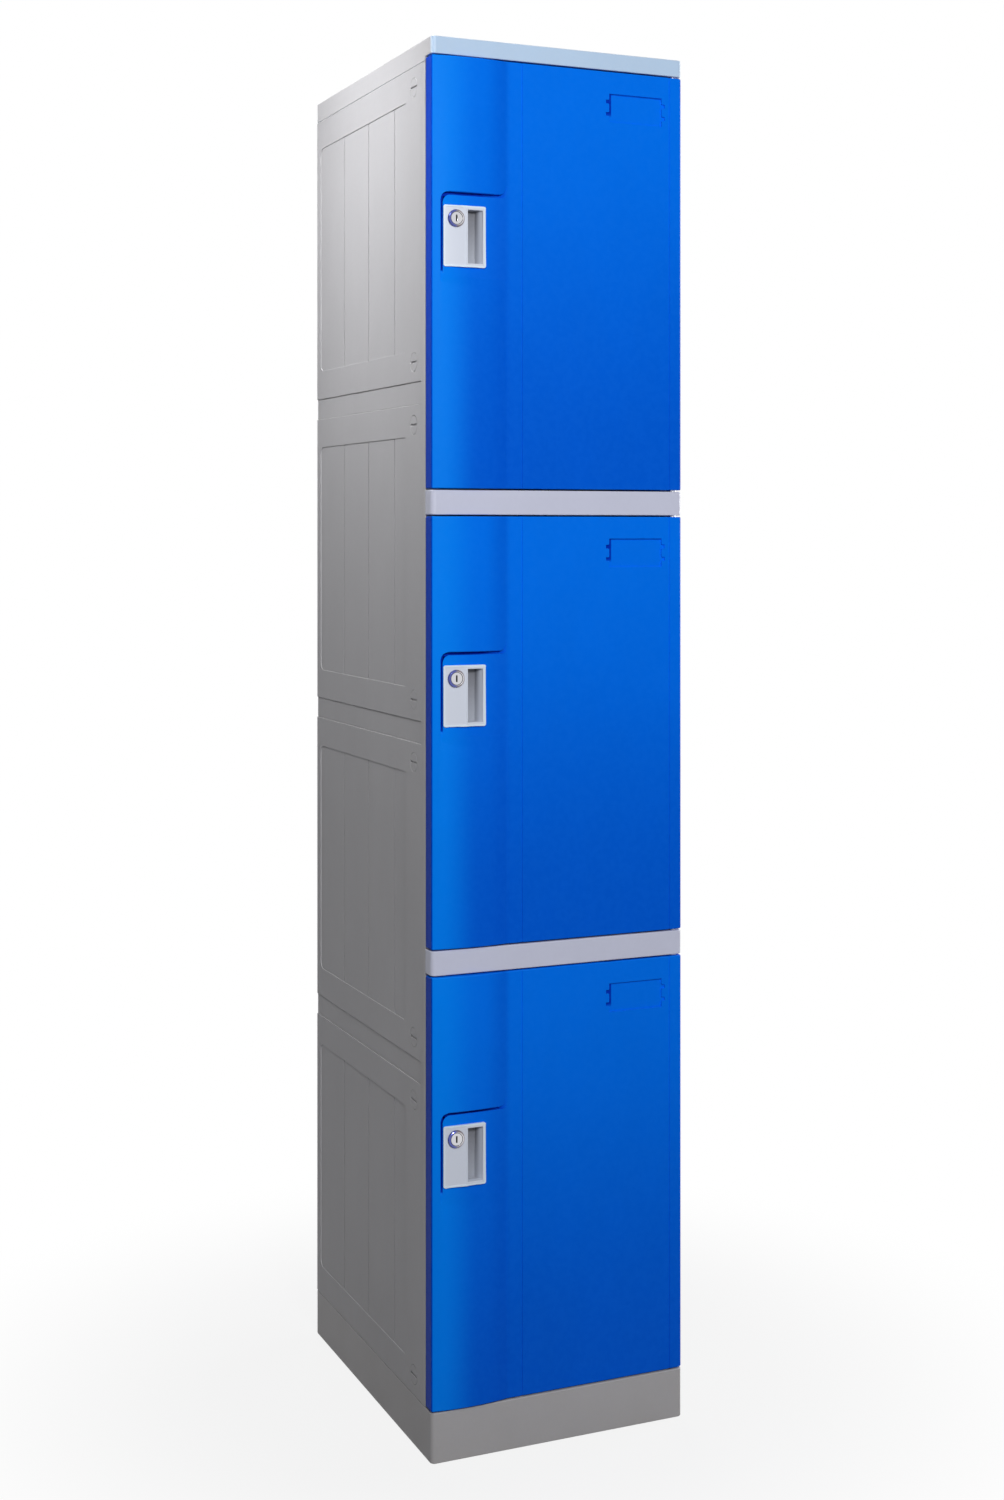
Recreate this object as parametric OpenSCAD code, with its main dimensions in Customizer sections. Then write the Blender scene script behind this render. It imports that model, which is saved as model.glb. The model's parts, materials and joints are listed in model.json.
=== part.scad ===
// Three-tier locker cabinet in moulded plastic.
// Frame: origin at the bottom centre, +X to the right, +Y to the back, +Z up, doors facing -Y.

/* [Cabinet] */
// Overall width
cab_w = 385; // [350:5:480]
// Overall depth, from the face of the locks to the back
cab_d = 500; // [440:5:600]
// Overall height
cab_h = 1940; // [1800:10:2100]

/* [Base and cover] */
// Height of the base plinth
base_h = 69; // [55:1:90]
// Height of the cover's skirt at the sides and the back
cover_h = 30; // [28:1:45]
// Height of the cover's front bar
cover_bar_h = 24; // [20:1:27]
// Wall of the base and of the cover
tray_t = 4; // [3:0.5:6]
// Thickness of the floor and ceiling plates
deck_t = 4; // [3:0.5:6]
// Radius of the front vertical corners of the base, rails and cover
corner_r = 7; // [3:0.5:9]

/* [Side panels] */
// Thickness of the side and back panels over their ribs
panel_t = 10; // [8:0.5:14]
// Thickness of the panel skin between ribs
panel_skin = 4; // [3:0.5:5]
// Width of the ribs inside the panels
panel_rib = 12; // [10:1:18]
// Height of the tie band between two side panels
band_h = 31; // [20:1:40]
// How far the tie band lies below the panel faces
band_sink = 1.2; // [0.5:0.1:2]
// How far the tie band laps behind the panel above and below it
band_lap = 15; // [10:1:20]

/* [Moulded lines] */
// Width of the moulded lines on the side and back panels
line_w = 2.5; // [1.5:0.1:4]
// Depth of the moulded lines
line_deep = 1; // [0.5:0.1:1.2]
// How far the framed field of a side panel lies below its border
frame_deep = 0.9; // [0.4:0.1:1.1]
// From the top or bottom edge of a panel to its moulded frame
line_margin = 44; // [40:1:60]
// From the back edge of a panel to its moulded frame
line_back = 18; // [16:1:40]
// From the front edge of a panel to the open end of its frame
line_front = 60; // [50:1:90]
// Length of the open end past the first upright line
line_open = 46; // [20:1:60]
// Radius of the rounded back corners of the framed field
line_r = 12; // [5:1:20]

/* [Posts and rails] */
// Width of the front posts, seen from the front
post_w = 24; // [20:0.5:24.5]
// Depth of the front posts
post_d = 16; // [14:0.5:24]
// Wall of the front posts
post_wall = 3; // [2:0.5:4]
// Thickness of the inner legs of the posts and of the shelf cleats
leg_t = 4; // [3:0.5:6]
// How far the front post's leg reaches behind a side panel
leg_d = 42; // [40:1:60]
// Width of each leg of the rear corner posts
rear_leg = 30; // [24:1:45]
// Height of the cross rails between the doors
rail_h = 34; // [32:1:50]

/* [Shelves and hooks] */
// Overall thickness of a shelf
shelf_t = 22; // [16:1:26]
// Thickness of the shelf's top skin and ribs
shelf_skin = 3.5; // [2.5:0.5:5]
// How far the shelf's top lies below the rail's top
shelf_lip = 3; // [1:0.5:5]
// Width of the cleat that carries a shelf
cleat_w = 24; // [18:1:30]
// How far a cleat reaches below the shelf
cleat_drop = 18; // [14:1:26]
// From the underside of a cell's ceiling to the middle of its coat hook
hook_drop = 95; // [60:1:140]
// Reach of the coat hook from the back panel
hook_reach = 42; // [30:1:60]

/* [Doors] */
// Thickness of a door behind its flat face
door_t = 21; // [18:0.5:23]
// Gap between the back of a closed door and the front posts
door_back_gap = 3; // [2.6:0.1:5]
// Gap above and below a door
door_gap = 2; // [1.6:0.1:4]
// Wall of the door shell
door_wall = 3; // [2.5:0.25:4]
// Thickness of the door liner
liner_t = 3; // [2:0.5:4]
// Width of the ledge that the liner rests on
liner_ledge = 1.2; // [0.8:0.1:1.6]
// Radius of the rounded edges at the hinge side of a door
door_edge_r = 6; // [5.5:0.1:7]
// Radius of the free front edge of a door
door_nose_r = 3; // [1.5:0.5:4]
// Radius of the hinge pins
pin_r = 3; // [2.5:0.25:4]
// How deep a hinge pin stands in the rail, base or cover
pin_seat = 12; // [8:0.5:14]

/* [Door front] */
// Width of the bulged strip along the free edge
bulge_w = 113; // [100:1:130]
// How far the bulged strip stands out
bulge_h = 5; // [4:0.1:5.2]
// Radius where the bulged strip meets the flat face
crease_r = 15; // [5:1:30]
// From the top of the door bay to the top of the handle recess
recess_drop = 187; // [150:1:230]
// Height of the handle recess down to the foot of its ramp
recess_h = 116; // [110:1:130]
// Height of the ramp at the foot of the handle recess
recess_ramp = 16; // [8:1:30]
// From the free edge to the handle recess
recess_left = 12.5; // [12:0.5:14]
// Radius of the corners of the handle recess
recess_r = 11; // [6:0.5:16]
// Width of the channel inside the left and top edges of the handle recess
channel_w = 4; // [2:0.25:4.5]
// Depth of that channel behind the door's flat face
channel_deep = 5; // [2:0.5:7]
// From the free edge to the first upright groove
groove_left = 134; // [132:1:150]
// From the hinge edge to the second upright groove
groove_right = 21; // [18:0.5:26]
// Width of the upright grooves
groove_w = 2.4; // [1.2:0.1:4]
// Depth of the upright grooves
groove_deep = 0.8; // [0.4:0.1:1.2]
// Width of the recess for a number label
label_w = 83; // [60:1:95]
// Height of the recess for a number label
label_h = 40; // [25:1:60]
// Depth of the recess for a number label
label_deep = 2.5; // [1:0.1:3]
// From the top of the door bay to the label recess
label_drop = 33; // [20:1:60]
// From the hinge edge to the label recess
label_right = 33; // [30:1:50]

/* [Handle and lock] */
// Width of the handle plate
plate_w = 62; // [61:0.5:68]
// Height of the handle plate
plate_h = 84; // [80:1:95]
// From the free edge of the door to the handle plate
plate_left = 17; // [17:0.5:18]
// From the top of the handle recess to the handle plate
plate_drop = 18; // [13:0.5:20]
// How far the handle plate lies below the bulge
plate_sink = 1; // [0.6:0.1:1.4]
// Width of the finger pocket at its mouth
pocket_w = 22; // [20:0.5:23]
// Height of the finger pocket
pocket_h = 73; // [60:1:73]
// Depth of the finger pocket behind the door's flat face
pocket_deep = 12; // [8:0.5:12.5]
// How much narrower the finger pocket is at its floor
pocket_taper = 6; // [3:0.5:9]
// Width of the rim around the handle plate
rim_w = 5; // [3:0.5:5.5]
// Wall of the finger pocket
pocket_wall = 2; // [1.5:0.1:2.5]
// From the free edge of the door to the lock's centre
lock_left = 34.8; // [34.8:0.1:35.5]
// From the top of the handle plate to the lock's centre
lock_drop = 18; // [17:0.5:24]
// How far the lock's face stands in front of the door's flat face
lock_proud = 6; // [5.6:0.1:7]
// Radius of the lock's bezel
bezel_r = 12; // [11.5:0.25:12.5]
// Radius of the lock's barrel
barrel_r = 9; // [8.5:0.1:9.25]
// Radius of the rotating plug
plug_r = 7; // [6:0.1:7.2]
// Length of the cam from the lock's centre to its tip
cam_l = 26; // [22:0.5:27]
// Width of the cam
cam_w = 14; // [10:0.5:16]
// Thickness of the cam
cam_t = 2.5; // [1.5:0.1:3]

/* [Fasteners] */
// Radius of the slotted panel fasteners' heads
stud_r = 13; // [10:0.5:14]
// Thickness of the slotted heads
stud_head = 3; // [2.5:0.25:4]
// Radius of the slotted fasteners' shanks
stud_shank_r = 4; // [3:0.25:5]
// From a panel's top or bottom edge to its slotted fasteners
stud_z = 28; // [24:1:29]
// From a panel's front edge to its slotted fasteners
stud_y = 28; // [24:1:32]
// Radius of the screws' shanks
screw_r = 2; // [1.5:0.1:2.5]
// Radius of the screws' heads
screw_head_r = 4; // [3.5:0.1:4.5]
// Length of the screws under their heads
screw_l = 10; // [9:0.5:11]

/* [Clearances] */
// Gap around pieces that drop into place
fit = 0.2; // [0.1:0.05:0.4]
// Radial running clearance of the pins and plugs
run = 0.05; // [0.02:0.01:0.08]

/* [Hidden] */
$fn = 64;

// Finishes
body_grey = [0.76, 0.76, 0.78];
band_grey = [0.72, 0.72, 0.75];
rail_grey = [0.80, 0.81, 0.86];
base_grey = [0.58, 0.58, 0.60];
door_blue = [0.02, 0.36, 0.86];
liner_blue = [0.03, 0.30, 0.74];
plate_white = [0.90, 0.91, 0.93];
lock_chrome = [0.85, 0.86, 0.88];
steel = [0.62, 0.63, 0.66];

// How many doors and how many panels make up the height
tiers = 3;
modules = 4;
over = 1;

// Planes seen from above
side_x = cab_w / 2;
front_y = lock_proud - cab_d / 2;
back_y = cab_d / 2;
frame_y = front_y + door_t + door_back_gap;
panel_y = frame_y + post_d;
inner_x = side_x - panel_t;
inner_y = back_y - panel_t;
lining_x = inner_x - leg_t;
// The stretch of side wall between the front and the rear posts' legs
bay_y0 = panel_y + leg_d + fit;
bay_y1 = inner_y - rear_leg - fit;

// Heights
wall_z0 = base_h;
wall_z1 = cab_h - cover_h;
front_z1 = cab_h - cover_bar_h;
bay_h = (front_z1 - base_h - (tiers - 1) * rail_h) / tiers;
door_h = bay_h - 2 * door_gap;
panel_h = (wall_z1 - wall_z0 - (modules - 1) * band_h) / modules;
back_h = (wall_z1 - wall_z0) / modules;
// Door bays, panels and rails, counted from the top
function bay_z(i) = base_h + (tiers - i) * (bay_h + rail_h);
function panel_z(n) = wall_z0 + (modules - n) * (panel_h + band_h);
function back_z(n) = wall_z0 + (modules - n) * back_h;
function rail_z(i) = bay_z(i) - rail_h;
function shelf_z(i) = bay_z(i) - shelf_lip;
// Underside of the ceiling over bay i
function ceiling_z(i) = i == 1 ? wall_z1 : shelf_z(i - 1) - shelf_t;

// Lugs at the ends of the rails, between the front posts
lug_w = 8;

// Hinge line
hinge_inset = door_t / 2;
hinge_x = side_x - hinge_inset;
hinge_y = front_y + hinge_inset;
hinge_block = 2 * hinge_inset + 1;
hinge_block_h = 40;
washer_r = pin_r + 2;

// Bulged strip: a wide arc that runs into the flat face, measured from the free edge.
// The crease and the nose are drawn a little wider than arcs that would only touch the bulge.
crease_over = 1.1;
nose_over = 1.01;
touch_r = crease_r / crease_over;
crest_u = bulge_w / 2 - bulge_h * touch_r / bulge_w;
bulge_r = (crest_u * crest_u + bulge_h * bulge_h) / (2 * bulge_h);
bulge_v = bulge_r - bulge_h;
blend_u = crest_u + (bulge_w - crest_u) * bulge_r / (bulge_r + touch_r);
blend_v = -bulge_h * touch_r / (bulge_r + touch_r);
nose_v = bulge_v - sqrt(pow(bulge_r - door_nose_r, 2) - pow(crest_u - door_nose_r, 2));
nose_u = door_nose_r * (1 - (crest_u - door_nose_r) / (bulge_r - door_nose_r));

// Handle recess and plate, measured down from the top of the door bay
recess_flare = 12;
channel_skin = 2;
channel_run_out = 10;
plate_top = recess_drop + plate_drop;
plate_corner = 3;
pocket_edge = (plate_h - pocket_h) / 2;
pocket_u1 = plate_left + plate_w - rim_w;
pocket_u0 = pocket_u1 - pocket_w;
field_deep = 0.7;
bezel_seat = 2.6;
lock_down = plate_top + lock_drop;

// Lock, measured back from the door's flat face
barrel_end = door_t + 4;
cam_v = door_t + door_back_gap + post_wall + 1;
nut_t = 5;
nut_r = 13.9;
drive_w = 6;
cam_hub_r = cam_w / 2 + 2;
plug_flange_r = plug_r + 1.6;
plug_flange_t = 2;
key_w = 2.2;
key_h = 9;
key_deep = 12;
cam_screw_l = 7;
keeper_h = 2 * (cam_l + 6);

// A box between two corners
module span(lo, hi) {
  translate(lo) cube(hi - lo);
}

// The same shape on the left and, mirrored, on the right
module on_side(right) {
  if (right) mirror([1, 0, 0]) children();
  else children();
}

module both_sides() {
  on_side(false) children();
  on_side(true) children();
}

// Outline of the base, rails and cover from above, round at the front corners
module front_plan(y1) {
  span2([-side_x + corner_r, front_y], [side_x - corner_r, y1]);
  span2([-side_x, front_y + corner_r], [side_x, y1]);
  for (x = [-side_x + corner_r, side_x - corner_r]) {
    translate([x, front_y + corner_r]) circle(corner_r);
  }
}

module span2(lo, hi) {
  translate(lo) square(hi - lo);
}

// A stretch from a to b split by ribs into equal cells: [start, end] of each cell
function cell_edges(a, b, count, rib) = [
  for (k = [0:count - 1])
    let (w = (b - a - (count - 1) * rib) / count)
    [a + k * (w + rib), a + k * (w + rib) + w],
];

// A shape turned about a line that runs back from the front face
module turned_back(x, y, z) {
  translate([x, y, z]) rotate([-90, 0, 0]) children();
}

// A pair of ribs that cross a tray both ways
module tray_ribs(x1, y0, y1, z0, z1, count = 2) {
  for (k = [1:count]) {
    rib_x = -x1 + 2 * x1 * k / (count + 1);
    rib_y = y0 + (y1 - y0) * k / (count + 1);
    span([rib_x - tray_t / 2, y0, z0], [rib_x + tray_t / 2, y1, z1]);
    span([-x1, rib_y - tray_t / 2, z0], [x1, rib_y + tray_t / 2, z1]);
  }
}

// ---------------------------------------------------------------- base and cover

module base_plinth() {
  floor_z = base_h - deck_t;
  in_x = side_x - tray_t;
  in_y0 = front_y + tray_t;
  in_y1 = back_y - tray_t;
  color(base_grey) difference() {
    union() {
      difference() {
        linear_extrude(base_h) front_plan(back_y);
        span([-in_x, in_y0, tray_t], [in_x, in_y1, base_h + over]);
      }
      tray_ribs(in_x + over, in_y0 - over, in_y1 + over, over, floor_z);
      span([side_x - hinge_block, in_y0 - over, over], [in_x + over, frame_y, base_h]);
    }
    translate([hinge_x, hinge_y, base_h - pin_seat - over]) {
      cylinder(r = pin_r + run, h = pin_seat + 2 * over);
    }
  }
}

// Floor of the lowest cell, lying on the plinth's ribs
module base_deck() {
  in_x = side_x - tray_t - fit;
  color(body_grey) difference() {
    span([-in_x, front_y + tray_t + fit, base_h - deck_t], [in_x, back_y - tray_t - fit, base_h]);
    span([side_x - hinge_block - fit, front_y, base_h - deck_t - over],
         [side_x, frame_y + fit, base_h + over]);
  }
}

// Peg of the cover that drops into the hollow front post
module cover_peg(gap) {
  peg_h = 15;
  span([-side_x + post_wall + fit - gap, frame_y + post_wall + fit - gap, wall_z1 - peg_h],
       [-side_x + post_w - post_wall - fit + gap, panel_y - post_wall - fit + gap, cab_h - tray_t + over]);
}

module top_cover() {
  in_x = side_x - tray_t;
  color(rail_grey) difference() {
    union() {
      difference() {
        translate([0, 0, wall_z1]) linear_extrude(cover_h) front_plan(back_y);
        span([-in_x, frame_y, wall_z1 - over], [in_x, back_y - tray_t, cab_h - tray_t]);
        span([-side_x - over, front_y - over, wall_z1 - over], [side_x + over, frame_y + over, front_z1]);
      }
      tray_ribs(in_x + over, frame_y - over, back_y - tray_t + over, wall_z1 + deck_t, cab_h - over);
      both_sides() cover_peg(0);
    }
    translate([hinge_x, hinge_y, front_z1 - over]) cylinder(r = pin_r + run, h = pin_seat + 2 * over);
  }
}

// Ceiling of the highest cell, lying on the posts and panels under the cover
module top_deck() {
  in_x = side_x - tray_t - fit;
  color(body_grey) difference() {
    span([-in_x, frame_y + fit, wall_z1], [in_x, back_y - tray_t - fit, wall_z1 + deck_t]);
    both_sides() cover_peg(fit);
  }
}

// ---------------------------------------------------------------- frame

// Front bar between two doors, with lugs that lap the inner faces of the posts
module rail(i) {
  z0 = rail_z(i);
  lug_x = side_x - post_w - fit;
  color(rail_grey) difference() {
    union() {
      translate([0, 0, z0]) linear_extrude(rail_h) front_plan(frame_y);
      both_sides() span([-lug_x, frame_y - over, z0], [lug_w - lug_x, panel_y, z0 + rail_h]);
    }
    translate([hinge_x, hinge_y, z0 - over]) cylinder(r = pin_r + run, h = rail_h + 2 * over);
  }
}

// Holes in the post's leg for the slotted panel fasteners
module stud_holes(r, x0, x1) {
  for (n = [1:modules], z = [stud_z, panel_h - stud_z]) {
    translate([x0, panel_y + stud_y, panel_z(n) + z]) rotate([0, 90, 0]) cylinder(r = r, h = x1 - x0);
  }
}

// Hollow front post with a leg behind the side panels
module front_post(right) {
  color(body_grey) on_side(right) difference() {
    union() {
      span([-side_x, frame_y, wall_z0], [post_w - side_x, panel_y, wall_z1]);
      span([-inner_x, panel_y - over, wall_z0], [-lining_x, panel_y + leg_d, wall_z1]);
    }
    span([post_wall - side_x, frame_y + post_wall, wall_z0 - over],
         [post_w - post_wall - side_x, panel_y - post_wall, wall_z1 + over]);
    stud_holes(stud_shank_r + fit, -inner_x - over, -lining_x + over);
    if (!right) keeper_slots();
  }
}

// Slots in the left post that the lock cams turn into
module keeper_slots() {
  for (i = [1:tiers]) {
    z = bay_z(i) + bay_h - lock_down;
    span([post_w - post_wall - side_x - over, frame_y + post_wall, z - keeper_h / 2],
         [post_w - side_x + over, panel_y - post_wall, z + keeper_h / 2]);
  }
}

// Places of the screws through the back panels, on the left side
function back_screw_x() = -inner_x + rear_leg / 2 + leg_t / 2;
function back_screw_z(n) = [back_z(n) + back_h / 6, back_z(n) + back_h * 5 / 6];

module rear_post(right) {
  color(body_grey) on_side(right) difference() {
    union() {
      span([-inner_x, inner_y - rear_leg, wall_z0], [-lining_x, inner_y, wall_z1]);
      span([-inner_x, inner_y - leg_t, wall_z0], [rear_leg - inner_x, inner_y, wall_z1]);
    }
    for (n = [1:modules], z = back_screw_z(n)) {
      turned_back(back_screw_x(), inner_y - leg_t - over, z) {
        cylinder(r = screw_r + run, h = leg_t + 2 * over);
      }
    }
  }
}

// ---------------------------------------------------------------- panels

// Framed field on the outer face of a left-hand panel, with rounded back corners and three uprights
module side_lines(z0) {
  y1 = back_y - line_back;
  y0 = panel_y + line_front;
  low = z0 + line_margin;
  high = z0 + panel_h - line_margin;
  pitch = (y1 - y0 - line_open) / 3;
  span([-side_x - over, y0, low], [frame_deep - side_x, y1 - line_r, high]);
  span([-side_x - over, y0, low + line_r], [frame_deep - side_x, y1, high - line_r]);
  for (z = [low + line_r, high - line_r]) {
    translate([-side_x - over, y1 - line_r, z]) rotate([0, 90, 0]) cylinder(r = line_r, h = frame_deep + over);
  }
  for (k = [0:2]) {
    y = y0 + line_open + k * pitch;
    span([-side_x - over, y - line_w / 2, low], [frame_deep + line_deep - side_x, y + line_w / 2, high]);
  }
}

// Pockets between the ribs on the inner face, clear of the tie bands
module side_pockets(z0) {
  margin = band_lap + panel_rib;
  for (y = cell_edges(bay_y0, bay_y1, 3, panel_rib)) {
    for (z = cell_edges(z0 + margin, z0 + panel_h - margin, 2, panel_rib)) {
      span([panel_skin - side_x, y[0], z[0]], [over - inner_x, y[1], z[1]]);
    }
  }
}

// The upright ribs that the shelf cleats are screwed to
function rib_y(k) = cell_edges(bay_y0, bay_y1, 3, panel_rib)[k][1] + panel_rib / 2;

module side_panel(n, right) {
  z0 = panel_z(n);
  color(body_grey) on_side(right) difference() {
    span([-side_x, panel_y, z0], [-inner_x, back_y, z0 + panel_h]);
    side_lines(z0);
    side_pockets(z0);
    stud_holes(stud_shank_r + fit, -side_x - over, -inner_x + over);
    stud_holes(stud_r + fit, -side_x - over, stud_head + fit - side_x);
    cleat_screw_places() cylinder(r = screw_r + run, h = screw_l);
  }
}

// Bands that tie two side panels together and lap behind both
module tie_bands(right) {
  flange_t = leg_t - over;
  color(band_grey) on_side(right) for (n = [2:modules]) {
    z0 = panel_z(n) + panel_h;
    span([band_sink - side_x, panel_y, z0], [-inner_x, back_y, z0 + band_h]);
    span([-inner_x - over, bay_y0, z0], [flange_t - inner_x, bay_y1, z0 + band_h]);
    span([-inner_x, bay_y0, z0 - band_lap], [flange_t - inner_x, bay_y1, z0 + band_h + band_lap]);
  }
}

// Back panel: ribs inside, a moulded frame outside, and air slots in the upper part
module back_panel(n) {
  z0 = back_z(n);
  edge = 25;
  hook_rail = 20;
  slot_w = 3.4;
  slot_h = 46;
  slot_pitch = 14;
  slot_x = -hook_rail - 24;
  slot_z = z0 + back_h - 60;
  color(body_grey) difference() {
    span([-inner_x, inner_y, z0], [inner_x, back_y, z0 + back_h]);
    both_sides() {
      for (z = cell_edges(z0 + edge, z0 + back_h - edge, 2, panel_rib)) {
        span([rear_leg + fit - inner_x, inner_y - over, z[0]], [-hook_rail, back_y - panel_skin, z[1]]);
      }
      for (k = [0:4]) {
        x = slot_x - slot_pitch * k;
        span([x, inner_y, slot_z - slot_h], [x + slot_w, back_y + over, slot_z]);
      }
      for (z = back_screw_z(n)) {
        turned_back(back_screw_x(), inner_y - over, z) cylinder(r = screw_r + fit, h = panel_t + 2 * over);
        turned_back(back_screw_x(), back_y - stud_head, z) {
          cylinder(r = screw_head_r + fit, h = stud_head + over);
        }
      }
    }
    back_lines(z0);
    hook_screw_places() cylinder(r = screw_r + run, h = screw_l);
  }
}

// Moulded frame with two uprights on the back
module back_lines(z0) {
  x1 = inner_x - line_margin;
  low = z0 + line_margin;
  high = z0 + back_h - line_margin;
  for (z = [low, high]) back_line(-x1, z, x1, z);
  for (k = [0:3]) back_line(x1 * (2 * k / 3 - 1), low, x1 * (2 * k / 3 - 1), high);
}

module back_line(x0, z0, x1, z1) {
  span([x0 - line_w / 2, back_y - line_deep, z0 - line_w / 2],
       [x1 + line_w / 2, back_y + over, z1 + line_w / 2]);
}

// Quarter-turn fasteners with a coin slot, through the side panels into the front posts
module panel_fasteners() {
  slot_w = 3;
  slot_l = 1.7 * stud_r;
  slot_deep = 1.8;
  wing_t = 3;
  face_x = 0.1 - side_x;
  color(body_grey) both_sides() for (n = [1:modules], z = [stud_z, panel_h - stud_z]) {
    translate([0, panel_y + stud_y, panel_z(n) + z]) difference() {
      union() {
        translate([face_x, 0, 0]) rotate([0, 90, 0]) cylinder(r = stud_r, h = stud_head);
        translate([face_x + stud_head - over, 0, 0]) rotate([0, 90, 0]) {
          cylinder(r = stud_shank_r, h = panel_t + leg_t - stud_head + wing_t + over);
        }
        span([fit - lining_x, -stud_shank_r * 2, -stud_shank_r / 2],
             [fit + wing_t - lining_x, stud_shank_r * 2, stud_shank_r / 2]);
      }
      span([-side_x - over, -slot_l / 2, -slot_w / 2], [slot_deep - side_x, slot_l / 2, slot_w / 2]);
    }
  }
}

// ---------------------------------------------------------------- inside the cells

// Ribbed tray with a tongue between the front posts
module shelf(i) {
  z1 = shelf_z(i);
  z0 = z1 - shelf_t;
  out_x = lining_x - fit;
  y0 = panel_y + fit;
  y1 = inner_y - leg_t - fit;
  tongue_x = side_x - post_w - lug_w - 2 * fit;
  color(body_grey) difference() {
    union() {
      span([-out_x, y0, z0], [out_x, y1, z1]);
      span([-tongue_x, frame_y, z0], [tongue_x, y0 + over, z1]);
    }
    for (a = cell_edges(-out_x + shelf_skin, out_x - shelf_skin, 4, shelf_skin)) {
      for (b = cell_edges(y0 + shelf_skin, y1 - shelf_skin, 4, shelf_skin)) {
        span([a[0], b[0], z0 - over], [a[1], b[1], z1 - shelf_skin]);
      }
    }
  }
}

// Two screw places on each cleat, on the left side, pointing out into the side panel's ribs
module cleat_screw_places() {
  for (i = [1:tiers - 1], k = [0:1]) {
    z = shelf_z(i) - shelf_t - leg_t - (cleat_drop - leg_t) / 2;
    translate([-lining_x, rib_y(k), z]) rotate([0, -90, 0]) children();
  }
}

module shelf_cleats() {
  color(body_grey) both_sides() difference() {
    for (i = [1:tiers - 1]) {
      z0 = shelf_z(i) - shelf_t;
      span([-inner_x, bay_y0, z0 - cleat_drop], [-lining_x, bay_y1, shelf_z(i)]);
      span([-inner_x, bay_y0, z0 - leg_t], [cleat_w - inner_x, bay_y1, z0]);
    }
    cleat_screw_places() translate([0, 0, -over]) cylinder(r = screw_r + fit, h = leg_t + 2 * over);
  }
}

// Coat hooks: a foot on the back panel's middle rail and a rising peg with a ball end
hook_foot_h = 46;
hook_foot_t = 4;
hook_screw_in = 8;
hook_peg_r = 5;
hook_rise = 22;

function hook_z(i) = ceiling_z(i) - hook_drop;

module hook_screw_places() {
  for (i = [1:tiers], s = [-1, 1]) {
    turned_back(0, inner_y - hook_foot_t, hook_z(i) + s * (hook_foot_h / 2 - hook_screw_in)) children();
  }
}

module coat_hooks() {
  foot_w = 22;
  ball_r = 7.5;
  peg_l = (hook_reach - ball_r) / cos(hook_rise);
  color(body_grey) difference() {
    for (i = [1:tiers]) {
      translate([0, inner_y, hook_z(i)]) {
        span([-foot_w / 2, -hook_foot_t, -hook_foot_h / 2], [foot_w / 2, 0, hook_foot_h / 2]);
        rotate([90 - hook_rise, 0, 0]) cylinder(r = hook_peg_r, h = peg_l);
        rotate([90 - hook_rise, 0, 0]) translate([0, 0, peg_l]) sphere(ball_r);
      }
    }
    for (i = [1:tiers]) span([-foot_w, inner_y, 0], [foot_w, inner_y + hook_reach, cab_h]);
    hook_screw_places() translate([0, 0, -over]) cylinder(r = screw_r + fit, h = hook_foot_t + 2 * over);
  }
}

// One cross-head screw: its head above z = 0 and its shank below
module screw(length) {
  head_t = 2.4;
  crown_r = 0.7 * screw_head_r;
  slot = [1.1, 1.8 * crown_r, 1.4];
  difference() {
    union() {
      translate([0, 0, -length]) cylinder(r = screw_r, h = length + over);
      cylinder(r1 = screw_head_r, r2 = crown_r, h = head_t);
    }
    for (a = [0, 90]) rotate([0, 0, a]) translate([0, 0, head_t]) cube(slot, center = true);
  }
}

// The screws of the back panels, of the shelf cleats and of the coat hooks
module screws() {
  color(steel) {
    both_sides() for (n = [1:modules], z = back_screw_z(n)) {
      turned_back(back_screw_x(), back_y - stud_head, z) screw(panel_t - stud_head + leg_t);
    }
    both_sides() cleat_screw_places() rotate([180, 0, 0]) screw(screw_l);
    hook_screw_places() rotate([180, 0, 0]) screw(screw_l);
  }
}

// ---------------------------------------------------------------- doors

// From here on u runs right from the door's free edge, v back from its flat face
// and w up from the bottom of the door bay.
module in_bay(i) {
  translate([-side_x, front_y, bay_z(i)]) children();
}

// Region in front of the flat face under the bulge, thinned by t on every side
module bulge_plan(t) {
  intersection() {
    translate([crest_u, bulge_v]) circle(bulge_r - t, $fn = 180);
    span2([t, -bulge_h - over], [bulge_w, t + over]);
  }
}

module door_plan() {
  difference() {
    union() {
      span2([0, 0], [cab_w - door_edge_r, door_t]);
      span2([cab_w - 2 * door_edge_r, door_edge_r], [cab_w, door_t - door_edge_r]);
      for (v = [door_edge_r, door_t - door_edge_r]) translate([cab_w - door_edge_r, v]) circle(door_edge_r);
      bulge_plan(0);
      difference() {
        span2([blend_u, blend_v], [bulge_w, over]);
        translate([bulge_w, -crease_r]) circle(crease_r);
      }
    }
    difference() {
      span2([-over, -bulge_h - over], [nose_u, nose_v]);
      translate([door_nose_r * nose_over, nose_v]) circle(door_nose_r * nose_over);
    }
  }
}

// A flat shape drawn in u and w, cut from v0 back to v1
module along_v(v0, v1) {
  translate([0, v1, 0]) rotate([90, 0, 0]) linear_extrude(v1 - v0) children();
}

// Handle recess seen from the front: round at the left, flared at the top right
module recess_front() {
  top = bay_h - recess_drop;
  foot = top - recess_h - recess_ramp - over;
  right = bulge_w + over;
  flare_u = bulge_w - 1.25 * recess_flare;
  span2([recess_left + recess_r, foot], [right, top]);
  span2([recess_left, foot + recess_r], [right, top - recess_r]);
  for (w = [foot + recess_r, top - recess_r]) translate([recess_left + recess_r, w]) circle(recess_r);
  difference() {
    span2([flare_u, top - over], [right, top + recess_flare]);
    translate([flare_u, top + recess_flare]) circle(recess_flare);
  }
}

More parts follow.
